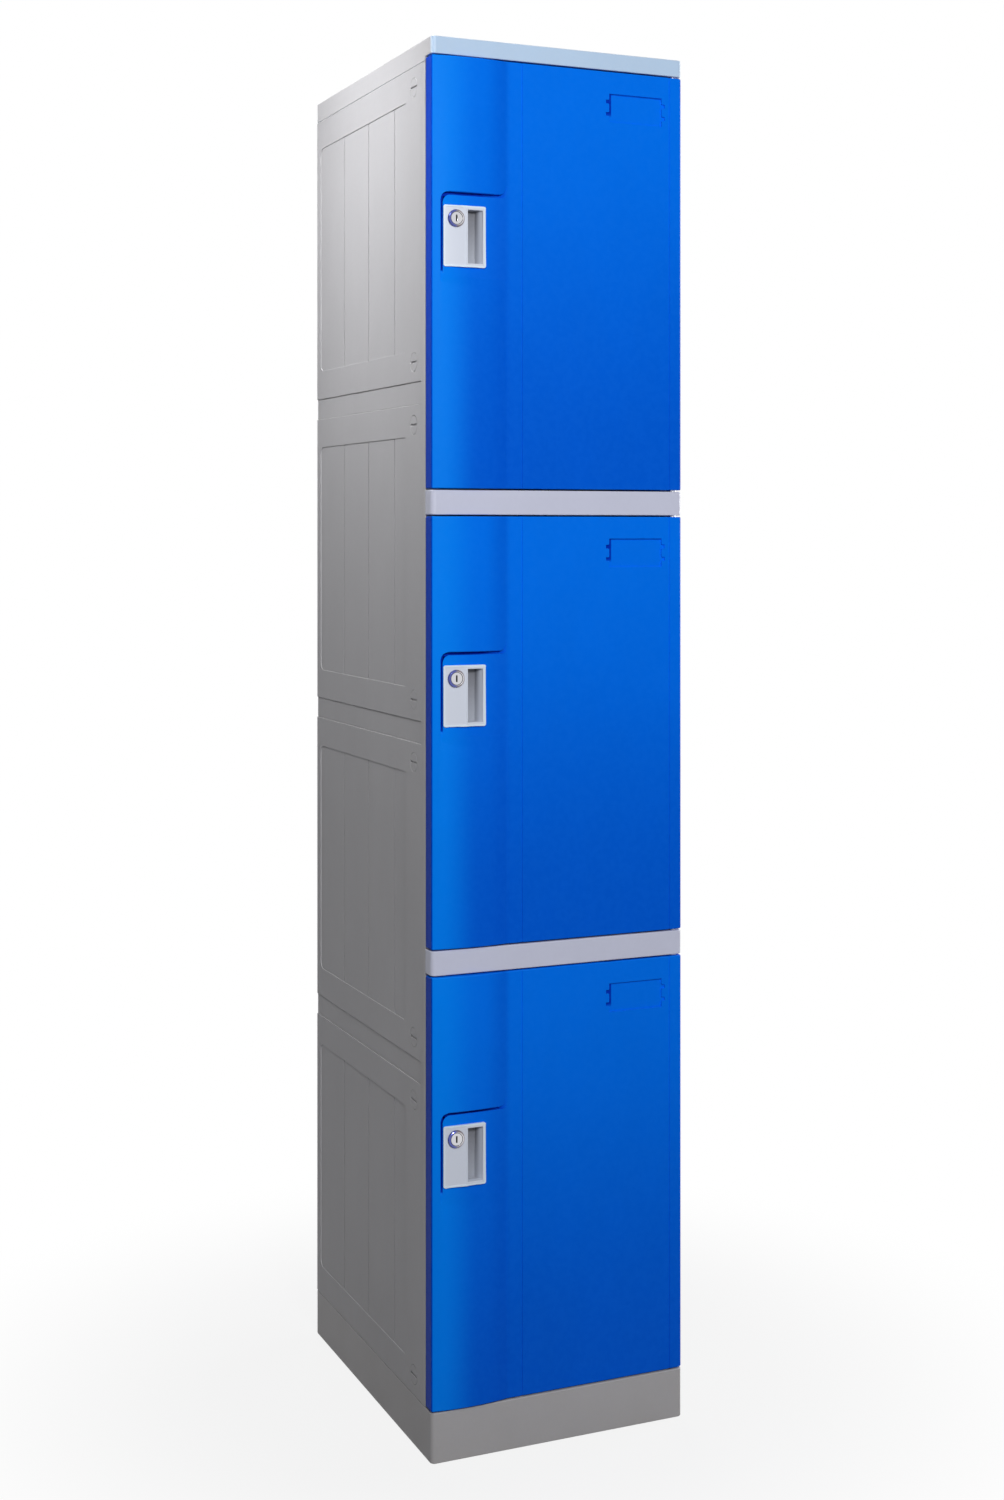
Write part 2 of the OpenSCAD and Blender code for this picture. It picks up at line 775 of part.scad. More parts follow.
// The recess goes back to the flat face and runs out in a ramp at its foot
module handle_recess() {
  top = bay_h - recess_drop;
  foot = top - recess_h;
  slope = recess_ramp / bulge_h;
  reach = bulge_h + over;
  intersection() {
    along_v(-reach, 0) recess_front();
    rotate([90, 0, 90]) linear_extrude(bulge_w + 2 * over) polygon([
      [0, foot], [-reach, foot - slope * reach],
      [-reach, top + recess_flare + over], [0, top + recess_flare + over],
    ]);
  }
}

// Channel along the left and top of the recess, which runs out at both its ends
module recess_channel() {
  top = bay_h - recess_drop;
  foot = top - recess_h + recess_ramp;
  end = bulge_w - recess_flare;
  intersection() {
    along_v(-over, channel_deep) difference() {
      recess_front();
      translate([channel_w, -channel_w]) recess_front();
    }
    rotate([90, 0, 90]) linear_extrude(bulge_w) polygon([
      [0, foot - channel_run_out], [channel_deep + over, foot],
      [channel_deep + over, top + recess_flare], [-2 * over, top + recess_flare],
      [-2 * over, foot - channel_run_out],
    ]);
    linear_extrude(bay_h) polygon([
      [0, -2 * over], [end + channel_run_out, -2 * over], [end + channel_run_out, 0],
      [end, channel_deep + over], [0, channel_deep + over],
    ]);
  }
}

// Skin left behind the channel
module channel_pad() {
  top = bay_h - recess_drop;
  foot = top - recess_h;
  deep = channel_deep + channel_skin;
  span([0, 0, foot - channel_skin], [recess_left + channel_w + channel_skin, deep, top + recess_flare + door_wall]);
  span([0, 0, top - channel_w - channel_skin], [bulge_w, deep, top + recess_flare + door_wall]);
}

// Label recess with two clip notches on each side
module label_recess() {
  u1 = cab_w - label_right;
  u0 = u1 - label_w;
  w1 = bay_h - label_drop;
  w0 = w1 - label_h;
  notch = 5;
  span([u0, -over, w0], [u1, label_deep, w1]);
  for (share = [0.28, 0.72]) {
    w = w0 + share * label_h;
    span([u0 - notch, -over, w - notch / 2], [u1 + notch, label_deep, w + notch / 2]);
  }
}

// Hollow of the door behind its skin, with pads behind the recesses
module door_hollow() {
  u1 = cab_w - hinge_block;
  w0 = door_gap + door_wall;
  w1 = bay_h - door_gap - door_wall;
  top = bay_h - recess_drop + recess_flare;
  foot = bay_h - recess_drop - recess_h - recess_ramp;
  pad_u = cab_w - label_right;
  pad_w = bay_h - label_drop;
  pad_side = 8;
  difference() {
    union() {
      span([door_wall, door_wall, w0], [u1, door_t + over, w1]);
      for (z = [[w0, foot - door_wall], [top + door_wall, w1]]) {
        translate([0, 0, z[0]]) linear_extrude(z[1] - z[0]) bulge_plan(door_wall);
      }
      // The liner's seat
      span([door_wall - liner_ledge, door_t - liner_t, w0 - liner_ledge],
           [u1, door_t + over, w1 + liner_ledge]);
      // Inside of the hinge edge between its two pin blocks
      span([u1 - over, door_wall + over, hinge_block_h],
           [cab_w - door_wall - over, door_t - door_wall - over, bay_h - hinge_block_h]);
    }
    span([pad_u - label_w - pad_side, 0, pad_w - label_h - door_wall],
         [pad_u + pad_side, label_deep + door_wall, pad_w + door_wall]);
    channel_pad();
  }
}

// Opening in the door's skin for the handle plate's pocket
module pocket_opening() {
  e = pocket_wall + fit;
  w1 = bay_h - plate_top - pocket_edge;
  span([pocket_u0 - e, -over, w1 - pocket_h - e], [pocket_u1 + e, door_wall + over, w1 + e]);
}

// A line back through the lock's centre
module at_lock(v) {
  translate([lock_left, v, bay_h - lock_down]) rotate([-90, 0, 0]) children();
}

module door_shell(i) {
  color(door_blue) in_bay(i) difference() {
    translate([0, 0, door_gap]) linear_extrude(door_h) door_plan();
    door_hollow();
    handle_recess();
    recess_channel();
    label_recess();
    pocket_opening();
    at_lock(-over) cylinder(r = barrel_r + fit, h = door_wall + 2 * over);
    for (u = [groove_left, cab_w - groove_right]) {
      span([u - groove_w / 2, -over, 0], [u + groove_w / 2, groove_deep, bay_h]);
    }
    for (w = [door_gap - over, bay_h - door_gap - pin_seat]) {
      translate([cab_w - hinge_inset, hinge_inset, w]) cylinder(r = pin_r + run / 2, h = pin_seat + over);
    }
  }
}

// Inner panel of the door, with two shallow fields pressed into its back
module door_liner(i) {
  u0 = door_wall - liner_ledge + fit;
  u1 = cab_w - hinge_block - fit;
  w0 = door_gap + door_wall - liner_ledge + fit;
  w1 = bay_h - w0;
  edge = 26;
  field = 1.2;
  field_u = u0 + 2 * lock_left;
  middle = (w0 + w1) / 2;
  color(liner_blue) in_bay(i) difference() {
    span([u0, door_t - liner_t, w0], [u1, door_t, w1]);
    for (w = [[w0 + edge, middle - edge / 2], [middle + edge / 2, w1 - edge]]) {
      span([field_u, door_t - field, w[0]], [u1 - edge, door_t + over, w[1]]);
    }
    at_lock(0) cylinder(r = barrel_r + 2 * fit, h = door_t + over);
  }
}

// Two pins with a washer collar that keeps the door off the rail
module hinge_pins(i) {
  collar = door_gap - fit;
  color(steel) in_bay(i) translate([cab_w - hinge_inset, hinge_inset, 0]) {
    for (m = [0, 1]) translate([0, 0, m * bay_h]) mirror([0, 0, m]) {
      translate([0, 0, fit - pin_seat]) cylinder(r = pin_r, h = 2 * pin_seat + door_gap - 2 * fit);
      translate([0, 0, fit]) cylinder(r = washer_r, h = collar);
    }
  }
}

// ---------------------------------------------------------------- handle and lock

// Plan of the finger pocket, deeper than its mouth is wide at the right, grown by e
module pocket_plan(e) {
  polygon([
    [pocket_u0 - e, -bulge_h - over], [pocket_u1 + e, -bulge_h - over], [pocket_u1 + e, 0],
    [pocket_u1 - pocket_taper + e, pocket_deep + e], [pocket_u0 - e, pocket_deep + e],
  ]);
}

module plate_outline(inset) {
  w1 = bay_h - plate_top - inset;
  w0 = bay_h - plate_top - plate_h + inset;
  u0 = plate_left + inset;
  u1 = plate_left + plate_w - inset;
  r = plate_corner - min(inset, plate_corner - 1);
  span2([u0 + r, w0], [u1 - r, w1]);
  span2([u0, w0 + r], [u1, w1 - r]);
  for (u = [u0 + r, u1 - r], w = [w0 + r, w1 - r]) translate([u, w]) circle(r);
}

// The face follows the bulge, a little below it
module plate_face(sink) {
  linear_extrude(bay_h) intersection() {
    translate([crest_u, bulge_v]) circle(bulge_r - sink, $fn = 180);
    span2([0, -bulge_h], [bulge_w, 0]);
  }
}

module handle_plate(i) {
  w1 = bay_h - plate_top - pocket_edge;
  e = pocket_wall;
  color(plate_white) in_bay(i) difference() {
    union() {
      intersection() {
        along_v(-bulge_h, 0) plate_outline(0);
        plate_face(plate_sink);
      }
      intersection() {
        translate([0, 0, w1 - pocket_h - e]) linear_extrude(pocket_h + 2 * e) pocket_plan(e);
        span([0, -over / 2, 0], [bulge_w, door_t, bay_h]);
      }
    }
    // Shallow field to the left of the pocket, inside the rim
    difference() {
      intersection() {
        along_v(-bulge_h - over, 0) plate_outline(rim_w / 2);
        span([0, -bulge_h - over, 0], [pocket_u0 - rim_w / 2, 0, bay_h]);
      }
      plate_face(plate_sink + field_deep);
    }
    translate([0, 0, w1 - pocket_h]) linear_extrude(pocket_h) pocket_plan(0);
    at_lock(-over - bulge_h) cylinder(r = bezel_r + fit, h = bulge_h + over - bezel_seat);
    at_lock(-over - bulge_h) cylinder(r = barrel_r + fit, h = bulge_h + 2 * over);
  }
}

// Bezel and barrel, bored for the plug
module lock_housing(i) {
  long = barrel_end + lock_proud;
  seat = lock_proud - bezel_seat;
  soft = 0.5;
  color(lock_chrome) in_bay(i) at_lock(-lock_proud) difference() {
    rotate_extrude() polygon([
      [plug_r + run, 0], [bezel_r - 3 * soft, 0], [bezel_r - soft, soft], [bezel_r, 3 * soft],
      [bezel_r, seat], [barrel_r, seat], [barrel_r, long], [plug_r + run, long],
    ]);
    translate([0, 0, -over]) cylinder(r = plug_flange_r + run, h = plug_flange_t + over);
  }
}

// Hexagon nut behind the door's skin
module lock_nut(i) {
  color(steel) in_bay(i) at_lock(door_wall) difference() {
    cylinder(r = nut_r, h = nut_t, $fn = 6);
    translate([0, 0, -over]) cylinder(r = barrel_r + run, h = nut_t + 2 * over);
  }
}

// Rotating plug with a keyway in front and a square drive behind
module lock_plug(i) {
  face = 0.4;
  flange = plug_flange_t - face;
  shoulder = cam_v + lock_proud;
  color(lock_chrome) in_bay(i) at_lock(-lock_proud) difference() {
    union() {
      translate([0, 0, face]) cylinder(r = plug_flange_r, h = flange - run);
      translate([0, 0, face]) cylinder(r = plug_r, h = shoulder - face);
      translate([-drive_w / 2, -drive_w / 2, shoulder - over]) cube([drive_w, drive_w, cam_t + over]);
    }
    translate([-key_w / 2, -key_h / 2, -over]) cube([key_w, key_h, key_deep]);
    translate([0, 0, shoulder - cam_screw_l]) cylinder(r = screw_r + run, h = cam_screw_l + cam_t + over);
  }
}

// Cam, hanging down when the lock is open
module lock_cam(i) {
  tip_r = cam_w / 2;
  color(steel) in_bay(i) at_lock(cam_v) difference() {
    union() {
      cylinder(r = cam_hub_r, h = cam_t);
      translate([-tip_r, 0, 0]) cube([cam_w, cam_l - tip_r, cam_t]);
      translate([0, cam_l - tip_r, 0]) cylinder(r = tip_r, h = cam_t);
    }
    translate([-drive_w / 2 - run, -drive_w / 2 - run, -over]) {
      cube([drive_w + 2 * run, drive_w + 2 * run, cam_t + 2 * over]);
    }
  }
}

// Screw with a flange under its head that holds the cam on the plug
module cam_screw(i) {
  flange_r = screw_head_r + 1.5;
  flange_t = 1;
  color(steel) in_bay(i) at_lock(cam_v + cam_t) {
    screw(cam_screw_l);
    difference() {
      cylinder(r = flange_r, h = flange_t);
      translate([0, 0, -over]) cylinder(r = screw_r, h = flange_t + 2 * over);
    }
  }
}

base_plinth();
base_deck();
shelf(2);  // shelf_lower
shelf(1);  // shelf_upper
top_deck();
top_cover();
rail(2);  // rail_lower
rail(1);  // rail_upper
front_post(false);  // front_post_left
front_post(true);  // front_post_right
rear_post(false);  // rear_post_left
rear_post(true);  // rear_post_right
side_panel(1, false);  // side_panel_left_1
side_panel(2, false);  // side_panel_left_2
side_panel(3, false);  // side_panel_left_3
side_panel(4, false);  // side_panel_left_4
side_panel(1, true);  // side_panel_right_1
side_panel(2, true);  // side_panel_right_2
side_panel(3, true);  // side_panel_right_3
side_panel(4, true);  // side_panel_right_4
tie_bands(false);  // tie_bands_left
tie_bands(true);  // tie_bands_right
back_panel(1);  // back_panel_1
back_panel(2);  // back_panel_2
back_panel(3);  // back_panel_3
back_panel(4);  // back_panel_4
panel_fasteners();
shelf_cleats();
coat_hooks();
screws();
door_shell(1);  // door_shell_1
door_shell(2);  // door_shell_2
door_shell(3);  // door_shell_3
door_liner(1);  // door_liner_1
door_liner(2);  // door_liner_2
door_liner(3);  // door_liner_3
hinge_pins(1);  // hinge_pins_1
hinge_pins(2);  // hinge_pins_2
hinge_pins(3);  // hinge_pins_3
handle_plate(1);  // handle_plate_1
handle_plate(2);  // handle_plate_2
handle_plate(3);  // handle_plate_3
lock_housing(1);  // lock_housing_1
lock_housing(2);  // lock_housing_2
lock_housing(3);  // lock_housing_3
lock_nut(1);  // lock_nut_1
lock_nut(2);  // lock_nut_2
lock_nut(3);  // lock_nut_3
lock_plug(1);  // lock_plug_1
lock_plug(2);  // lock_plug_2
lock_plug(3);  // lock_plug_3
lock_cam(1);  // lock_cam_1
lock_cam(2);  // lock_cam_2
lock_cam(3);  // lock_cam_3
cam_screw(1);  // cam_screw_1
cam_screw(2);  // cam_screw_2
cam_screw(3);  // cam_screw_3
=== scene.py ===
"""Looks of a moulded plastic locker with three stacked cells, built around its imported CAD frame."""

import json
import math

import bmesh
import bpy
from bpy.props import FloatProperty, FloatVectorProperty, IntProperty, PointerProperty
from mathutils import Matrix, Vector
from mathutils.geometry import delaunay_2d_cdt


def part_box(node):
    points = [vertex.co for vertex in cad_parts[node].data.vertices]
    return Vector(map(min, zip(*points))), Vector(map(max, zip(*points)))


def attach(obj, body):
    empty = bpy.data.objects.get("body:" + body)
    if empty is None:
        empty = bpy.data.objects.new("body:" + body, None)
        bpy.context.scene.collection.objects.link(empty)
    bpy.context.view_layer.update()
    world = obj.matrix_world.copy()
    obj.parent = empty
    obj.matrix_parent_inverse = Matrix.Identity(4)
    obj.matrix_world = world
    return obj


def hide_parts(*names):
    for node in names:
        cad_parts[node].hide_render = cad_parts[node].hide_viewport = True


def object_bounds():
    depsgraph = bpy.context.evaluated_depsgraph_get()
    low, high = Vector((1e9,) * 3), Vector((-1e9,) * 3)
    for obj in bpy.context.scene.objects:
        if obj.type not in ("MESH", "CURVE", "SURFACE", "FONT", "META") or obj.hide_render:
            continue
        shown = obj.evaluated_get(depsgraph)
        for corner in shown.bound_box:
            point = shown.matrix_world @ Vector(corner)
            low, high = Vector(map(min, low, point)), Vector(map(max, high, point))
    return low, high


bl_info = {
    "name": "Locker Cabinet Looks",
    "version": (1, 0, 0),
    "blender": (4, 5, 0),
    "location": "View3D > Sidebar > Locker",
    "description": "Rounds, paints and lights a three-tier moulded plastic locker",
    "category": "Object",
}

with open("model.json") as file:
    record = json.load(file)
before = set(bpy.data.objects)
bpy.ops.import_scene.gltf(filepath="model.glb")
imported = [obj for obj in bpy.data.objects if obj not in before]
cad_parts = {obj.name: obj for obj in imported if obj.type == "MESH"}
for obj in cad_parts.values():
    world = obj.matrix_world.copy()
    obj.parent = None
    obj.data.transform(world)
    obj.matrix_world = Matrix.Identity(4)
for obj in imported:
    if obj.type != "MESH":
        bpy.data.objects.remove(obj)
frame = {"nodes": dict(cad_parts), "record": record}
CAD_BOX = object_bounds()
RECORD = frame["record"]
BODY_OF = {node: body for body, nodes in RECORD["behaviour"]["bodies"].items() for node in nodes}
TIERS = (1, 2, 3)
LEVELS = (1, 2, 3, 4)
SIDES = ("left", "right")
NUMBER = "NodeSocketFloat"
COLOUR = "NodeSocketColor"
FLOOR_GAP = 0.0005  # metres from the plinth down to the studio floor

# Names of the mesh data that the rounding leaves for the shading, and the slot of its rounded strips
WORN = "worn_edge"
FLAT = "flat_area"
STRIP = 1

# Edges are rounded at the full radius first, and then, inner corners too, at a finer one
FOLD = math.radians(24)  # least fold that the full radius takes
FINE_FOLD = math.radians(38)  # least fold that the finer radius takes
FINER = 4  # how many times finer that radius is
ROOM = 2.2  # radii of room that an edge needs on both sides
LEAST_LEFT = 0.02  # radii that have to stay of an edge's length

# Limits of what counts as one flat area, and folds at which the shading breaks
NEARLY_FLAT = math.radians(0.4)
SAME_PLANE = 0.99997  # least cosine between the normals of one flat area
CRISP_FLATS = math.radians(22)  # between two flat areas
CRISP_STRIP = math.radians(60)  # at a rounded strip

# Places on a door, in metres
FRONT = next(j for j in RECORD["behaviour"]["joints"] if j["name"] == "lock_1_turn")["pos_m"][1]  # flat face
BULGE_END = 0.113  # from its free edge to the foot of the bulge
LABEL_LEFT = 0.269  # from its free edge to the label recess
LABEL_DROP = 0.031  # from its head down to the label recess

# Shares of the doors' red, green and blue that make their painted light and shade: painted shade at each
# door's foot and free side, a painted highlight on the bulge's crest, and painted shade where the bulge
# turns and in the channel and label recess
DOOR_PAINTED_SHARES = {
    "foot": (1.0, 0.62, 0.78),
    "side": (0.0, 0.33, 0.64),
    "crest": (0.0, 1.45, 1.11),
    "turn": (0.0, 0.5, 0.72),
    "sunk": (0.0, 0.16, 0.5),
}


# ---------------------------------------------------------------- settings

class LockerColours(bpy.types.PropertyGroup):
    """Colours of the mouldings and metals."""

    body: FloatVectorProperty(
        name="Body", description="Light grey of the walls, posts, shelves and cover", subtype="COLOR",
        size=3, min=0, max=1, default=(0.56, 0.555, 0.575))
    rail: FloatVectorProperty(
        name="Rails", description="Pale grey of the cross rails", subtype="COLOR",
        size=3, min=0, max=1, default=(0.585, 0.605, 0.745))
    # The cover bar's colour is a painted reflection: a cooler, bluer tone that only the cover's front bar
    # gets.
    bar: FloatVectorProperty(
        name="Cover bar", description="Cooler tint of the cover's front bar", subtype="COLOR",
        size=3, min=0, max=1, default=(0.485, 0.64, 0.84))
    base: FloatVectorProperty(
        name="Base", description="Mid grey of the plinth", subtype="COLOR",
        size=3, min=0, max=1, default=(0.43, 0.42, 0.43))
    door: FloatVectorProperty(
        name="Doors", description="Bright blue of the door shells", subtype="COLOR",
        size=3, min=0, max=1, default=(0.0, 0.172, 0.90))
    liner: FloatVectorProperty(
        name="Door liners", description="Blue of the inner door panels", subtype="COLOR",
        size=3, min=0, max=1, default=(0.002, 0.11, 0.60))
    handle: FloatVectorProperty(
        name="Handle plates", description="Off-white of the handle plates", subtype="COLOR",
        size=3, min=0, max=1, default=(0.68, 0.725, 0.83))
    chrome: FloatVectorProperty(
        name="Lock plating", description="Bright plating of the locks", subtype="COLOR",
        size=3, min=0, max=1, default=(0.62, 0.62, 0.65))
    zinc: FloatVectorProperty(
        name="Zinc plating", description="Zinc of the screws, pins, nuts and cams", subtype="COLOR",
        size=3, min=0, max=1, default=(0.58, 0.59, 0.62))


class LockerEdges(bpy.types.PropertyGroup):
    """Radii of the rounded edges that the mouldings leave the tool with."""

    door: FloatProperty(
        name="Doors", description="Rounding of the door shells' edges", subtype="DISTANCE",
        unit="LENGTH", min=0.0002, max=0.003, default=0.0018)
    trim: FloatProperty(
        name="Rails, cover, plinth", description="Rounding of the rails, cover and plinth",
        subtype="DISTANCE", unit="LENGTH", min=0.0002, max=0.003, default=0.0016)
    panel: FloatProperty(
        name="Panels and posts", description="Rounding of the wall panels, bands and posts",
        subtype="DISTANCE", unit="LENGTH", min=0.0002, max=0.003, default=0.0010)
    handle: FloatProperty(
        name="Handle plates", description="Rounding of the handle plates", subtype="DISTANCE",
        unit="LENGTH", min=0.0002, max=0.002, default=0.0010)
    small: FloatProperty(
        name="Small parts", description="Rounding of fasteners, hooks, cleats and lock parts",
        subtype="DISTANCE", unit="LENGTH", min=0.0001, max=0.001, default=0.0004)
    steps: IntProperty(
        name="Steps", description="Facets across each rounded edge", min=2, max=6, default=4)


class LockerWear(bpy.types.PropertyGroup):
    """How used the locker looks."""

    grain: FloatProperty(
        name="Grain", description="Depth of the fine moulded grain", subtype="DISTANCE",
        unit="LENGTH", min=0, max=0.0003, default=0.00005)
    rubbing: FloatProperty(
        name="Rubbed edges", description="Share of the rounded edges that handling has lightened",
        subtype="FACTOR", min=0, max=1, default=0.35)
    dust: FloatProperty(
        name="Dust", description="Dust on ledges and low on the walls", subtype="FACTOR",
        min=0, max=1, default=0.25)
    marks: FloatProperty(
        name="Hand marks", description="Smears that dull or polish the surface", subtype="FACTOR",
        min=0, max=1, default=0.4)


class LockerStudio(bpy.types.PropertyGroup):
    """Lamps, surroundings and camera."""

    front_watts: FloatProperty(
        name="Front lamp", description="Lamp before the doors, a little to the left", subtype="POWER",
        unit="POWER", min=0, default=62)
    key_watts: FloatProperty(
        name="Key lamp", description="Lamp high at the left in front", subtype="POWER",
        unit="POWER", min=0, default=10)
    side_watts: FloatProperty(
        name="Side lamp", description="Narrow beam from above and beside the left wall", subtype="POWER",
        unit="POWER", min=0, default=1.85)
    right_watts: FloatProperty(
        name="Right fill", description="Broad lamp beside the right wall", subtype="POWER",
        unit="POWER", min=0, default=60)
    back_watts: FloatProperty(
        name="Back fill", description="Broad lamp behind the cabinet", subtype="POWER",
        unit="POWER", min=0, default=60)
    ambient: FloatProperty(
        name="Ambient", description="Level of the light from all round", min=0, max=1, default=0.056)
    eye: FloatVectorProperty(
        name="Eye", description="Place of the camera", subtype="XYZ", unit="LENGTH",
        size=3, default=(-1.200, -2.813, 1.269))
    heading: FloatProperty(
        name="Heading", description="Turn of the camera from straight at the doors",
        subtype="ANGLE", unit="ROTATION", default=math.radians(23.4))
    focal: FloatProperty(
        name="Focal length", description="Focal length in millimetres on a 36 mm sensor",
        min=20, max=200, default=48.8)
    drop: FloatProperty(
        name="Frame drop", description="Shift of the frame below the level line of sight",
        subtype="FACTOR", min=0, max=0.3, default=0.147)


class LockerSettings(bpy.types.PropertyGroup):
    """Everything that a user of the locker would change."""

    colours: PointerProperty(type=LockerColours)
    edges: PointerProperty(type=LockerEdges)
    wear: PointerProperty(type=LockerWear)
    studio: PointerProperty(type=LockerStudio)


# ---------------------------------------------------------------- shader building blocks

def feed(tree, socket, value):
    """Sets a socket to a number or a colour, or links another socket to it."""
    if isinstance(value, (int, float)):
        socket.default_value = value
    elif isinstance(value, (tuple, list)):
        socket.default_value = (*value, 1.0)
    else:
        tree.links.new(value, socket)


def math_node(tree, operation, *values, clamp=False):
    """The result of a Math node on sockets or numbers; from the third on they are taken in turn."""
    node = tree.nodes.new("ShaderNodeMath")
    node.operation = operation
    rest = values[2:]
    node.use_clamp = clamp and not rest
    for socket, value in zip(node.inputs, values[:2]):
        feed(tree, socket, value)
    return math_node(tree, operation, node.outputs[0], *rest, clamp=clamp) if rest else node.outputs[0]


def remap(tree, value, low, high, out_low=0.0, out_high=1.0):
    """A smooth step of a value from one range to another."""
    node = tree.nodes.new("ShaderNodeMapRange")
    node.interpolation_type = "SMOOTHSTEP"
    tree.links.new(value, node.inputs["Value"])
    limits = {"From Min": low, "From Max": high, "To Min": out_low, "To Max": out_high}
    for label, number in limits.items():
        node.inputs[label].default_value = number
    return node.outputs[0]


def band(tree, value, start, full, ebb, end):
    """Mask that rises from start to full and falls from ebb to end."""
    fall = remap(tree, value, ebb, end, 1.0, 0.0)
    return math_node(tree, "MULTIPLY", remap(tree, value, start, full), fall)


def place(tree, stretch=(1, 1, 1)):
    """Coordinates over the object in metres, stretched by the given factors."""
    coords = tree.nodes.new("ShaderNodeTexCoord")
    mapping = tree.nodes.new("ShaderNodeMapping")
    mapping.inputs["Scale"].default_value = stretch
    tree.links.new(coords.outputs["Object"], mapping.inputs["Vector"])
    return mapping.outputs[0]


def axes(tree, vector=None):
    """The X, Y and Z of a vector, which is the place over the object if none is given."""
    split = tree.nodes.new("ShaderNodeSeparateXYZ")
    tree.links.new(place(tree) if vector is None else vector, split.inputs[0])
    return split.outputs


def up_from(tree, node, height):
    """Height above a point of the lowest door's piece, the same on all three doors."""
    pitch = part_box(f"{node}_2")[0].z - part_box(f"{node}_3")[0].z
    rise = math_node(tree, "SUBTRACT", axes(tree)["Z"], height - pitch / 2)
    return math_node(tree, "SUBTRACT", math_node(tree, "FLOORED_MODULO", rise, pitch), pitch / 2)


def reach_of(tree, a, b):
    """The distance from an axis, given the offsets from it in two directions."""
    squares = (math_node(tree, "MULTIPLY", offset, offset) for offset in (a, b))
    return math_node(tree, "SQRT", math_node(tree, "ADD", *squares))


def noise(tree, vector, scale, detail=2.0, roughness=0.5):
    """A noise value; scale is cells per metre, as a number or a socket."""
    node = tree.nodes.new("ShaderNodeTexNoise")
    node.inputs["Detail"].default_value = detail
    node.inputs["Roughness"].default_value = roughness
    feed(tree, node.inputs["Scale"], scale)
    tree.links.new(vector, node.inputs["Vector"])
    return node.outputs["Fac"]


def mix_colour(tree, factor, a, b, blend="MIX"):
    """Two colours mixed by a factor socket or number."""
    node = tree.nodes.new("ShaderNodeMix")
    node.data_type = "RGBA"
    node.blend_type = blend
    for socket, value in ((node.inputs[0], factor), (node.inputs[6], a), (node.inputs[7], b)):
        feed(tree, socket, value)
    return node.outputs[2]


def bump(tree, height, distance, strength=1.0, over=None):
    """A normal bumped by a height, over another normal if one is given."""
    node = tree.nodes.new("ShaderNodeBump")
    node.inputs["Strength"].default_value = strength
    node.inputs["Distance"].default_value = distance
    tree.links.new(height, node.inputs["Height"])
    if over is not None:
        tree.links.new(over, node.inputs["Normal"])
    return node.outputs[0]


def seen_rays(tree):
    """Mask of the rays that show a surface itself or its mirror image, and not its light on others."""
    path = tree.nodes.new("ShaderNodeLightPath")
    kinds = ("Is Camera Ray", "Is Glossy Ray", "Is Transmission Ray")
    return math_node(tree, "MAXIMUM", *(path.outputs[kind] for kind in kinds))


# ---------------------------------------------------------------- shared shader effects

def effect(name, inputs, outputs):
    """Decorator that makes a shader group of a function at its first call and gives it again later."""
    def wrap(fill):
        def get():
            if name not in bpy.data.node_groups:
                tree = bpy.data.node_groups.new(name, "ShaderNodeTree")
                for label, kind, default in inputs:
                    socket = tree.interface.new_socket(name=label, in_out="INPUT", socket_type=kind)
                    socket.default_value = default
                for label, kind in outputs:
                    tree.interface.new_socket(name=label, in_out="OUTPUT", socket_type=kind)
                given = tree.nodes.new("NodeGroupInput").outputs
                fill(tree, given, tree.nodes.new("NodeGroupOutput").inputs)
            return bpy.data.node_groups[name]
        return get
    return wrap


def use(tree, group, **values):
    """The outputs of a shared effect, with its inputs set by name."""
    node = tree.nodes.new("ShaderNodeGroup")
    node.node_tree = group
    for label, value in values.items():
        feed(tree, node.inputs[label.replace("_", " ")], value)
    return node.outputs


@effect("Moulded grain", [("Scale", NUMBER, 900.0)], [("Height", NUMBER), ("Speckle", NUMBER)])
def moulded_grain(tree, given, result):
    """Fine grain of a spark-eroded mould: its height, and a speckle for the colour."""
    at = place(tree)
    fine = noise(tree, at, given["Scale"], detail=2.0, roughness=0.6)
    cells = tree.nodes.new("ShaderNodeTexVoronoi")
    cells.feature = "SMOOTH_F1"
    tree.links.new(at, cells.inputs["Vector"])
    tree.links.new(math_node(tree, "MULTIPLY", given["Scale"], 0.6), cells.inputs["Scale"])
    height = math_node(tree, "ADD", math_node(tree, "MULTIPLY", fine, 0.6),
                       math_node(tree, "MULTIPLY", cells.outputs["Distance"], 0.5))
    coarse = noise(tree, at, math_node(tree, "MULTIPLY", given["Scale"], 0.18), detail=3.0)
    tree.links.new(height, result["Height"])
    tree.links.new(remap(tree, coarse, 0.35, 0.65), result["Speckle"])


@effect("Mould flow", [("Colour", COLOUR, (0.5, 0.5, 0.5, 1.0)), ("Amount", NUMBER, 0.04)],
        [("Colour", COLOUR), ("Wave", NUMBER)])
def mould_flow(tree, given, result):
    """Slow drift of colour and of flatness that thick mouldings show."""
    broad = noise(tree, place(tree), 3.2, detail=2.0)
    close = noise(tree, place(tree, (1, 1, 0.5)), 22.0, detail=2.0)
    drift = math_node(tree, "ADD", math_node(tree, "MULTIPLY", broad, 1.3),
                      math_node(tree, "MULTIPLY", close, 0.7))
    swing = math_node(tree, "MULTIPLY", math_node(tree, "SUBTRACT", drift, 1.0), given["Amount"], 2.0)
    factor = math_node(tree, "ADD", 1.0, swing)
    grey = tree.nodes.new("ShaderNodeCombineColor")
    for channel in grey.inputs:
        tree.links.new(factor, channel)
    tree.links.new(mix_colour(tree, 1.0, given["Colour"], grey.outputs[0], "MULTIPLY"), result["Colour"])
    tree.links.new(noise(tree, place(tree, (1, 1, 0.7)), 11.0, detail=1.0), result["Wave"])


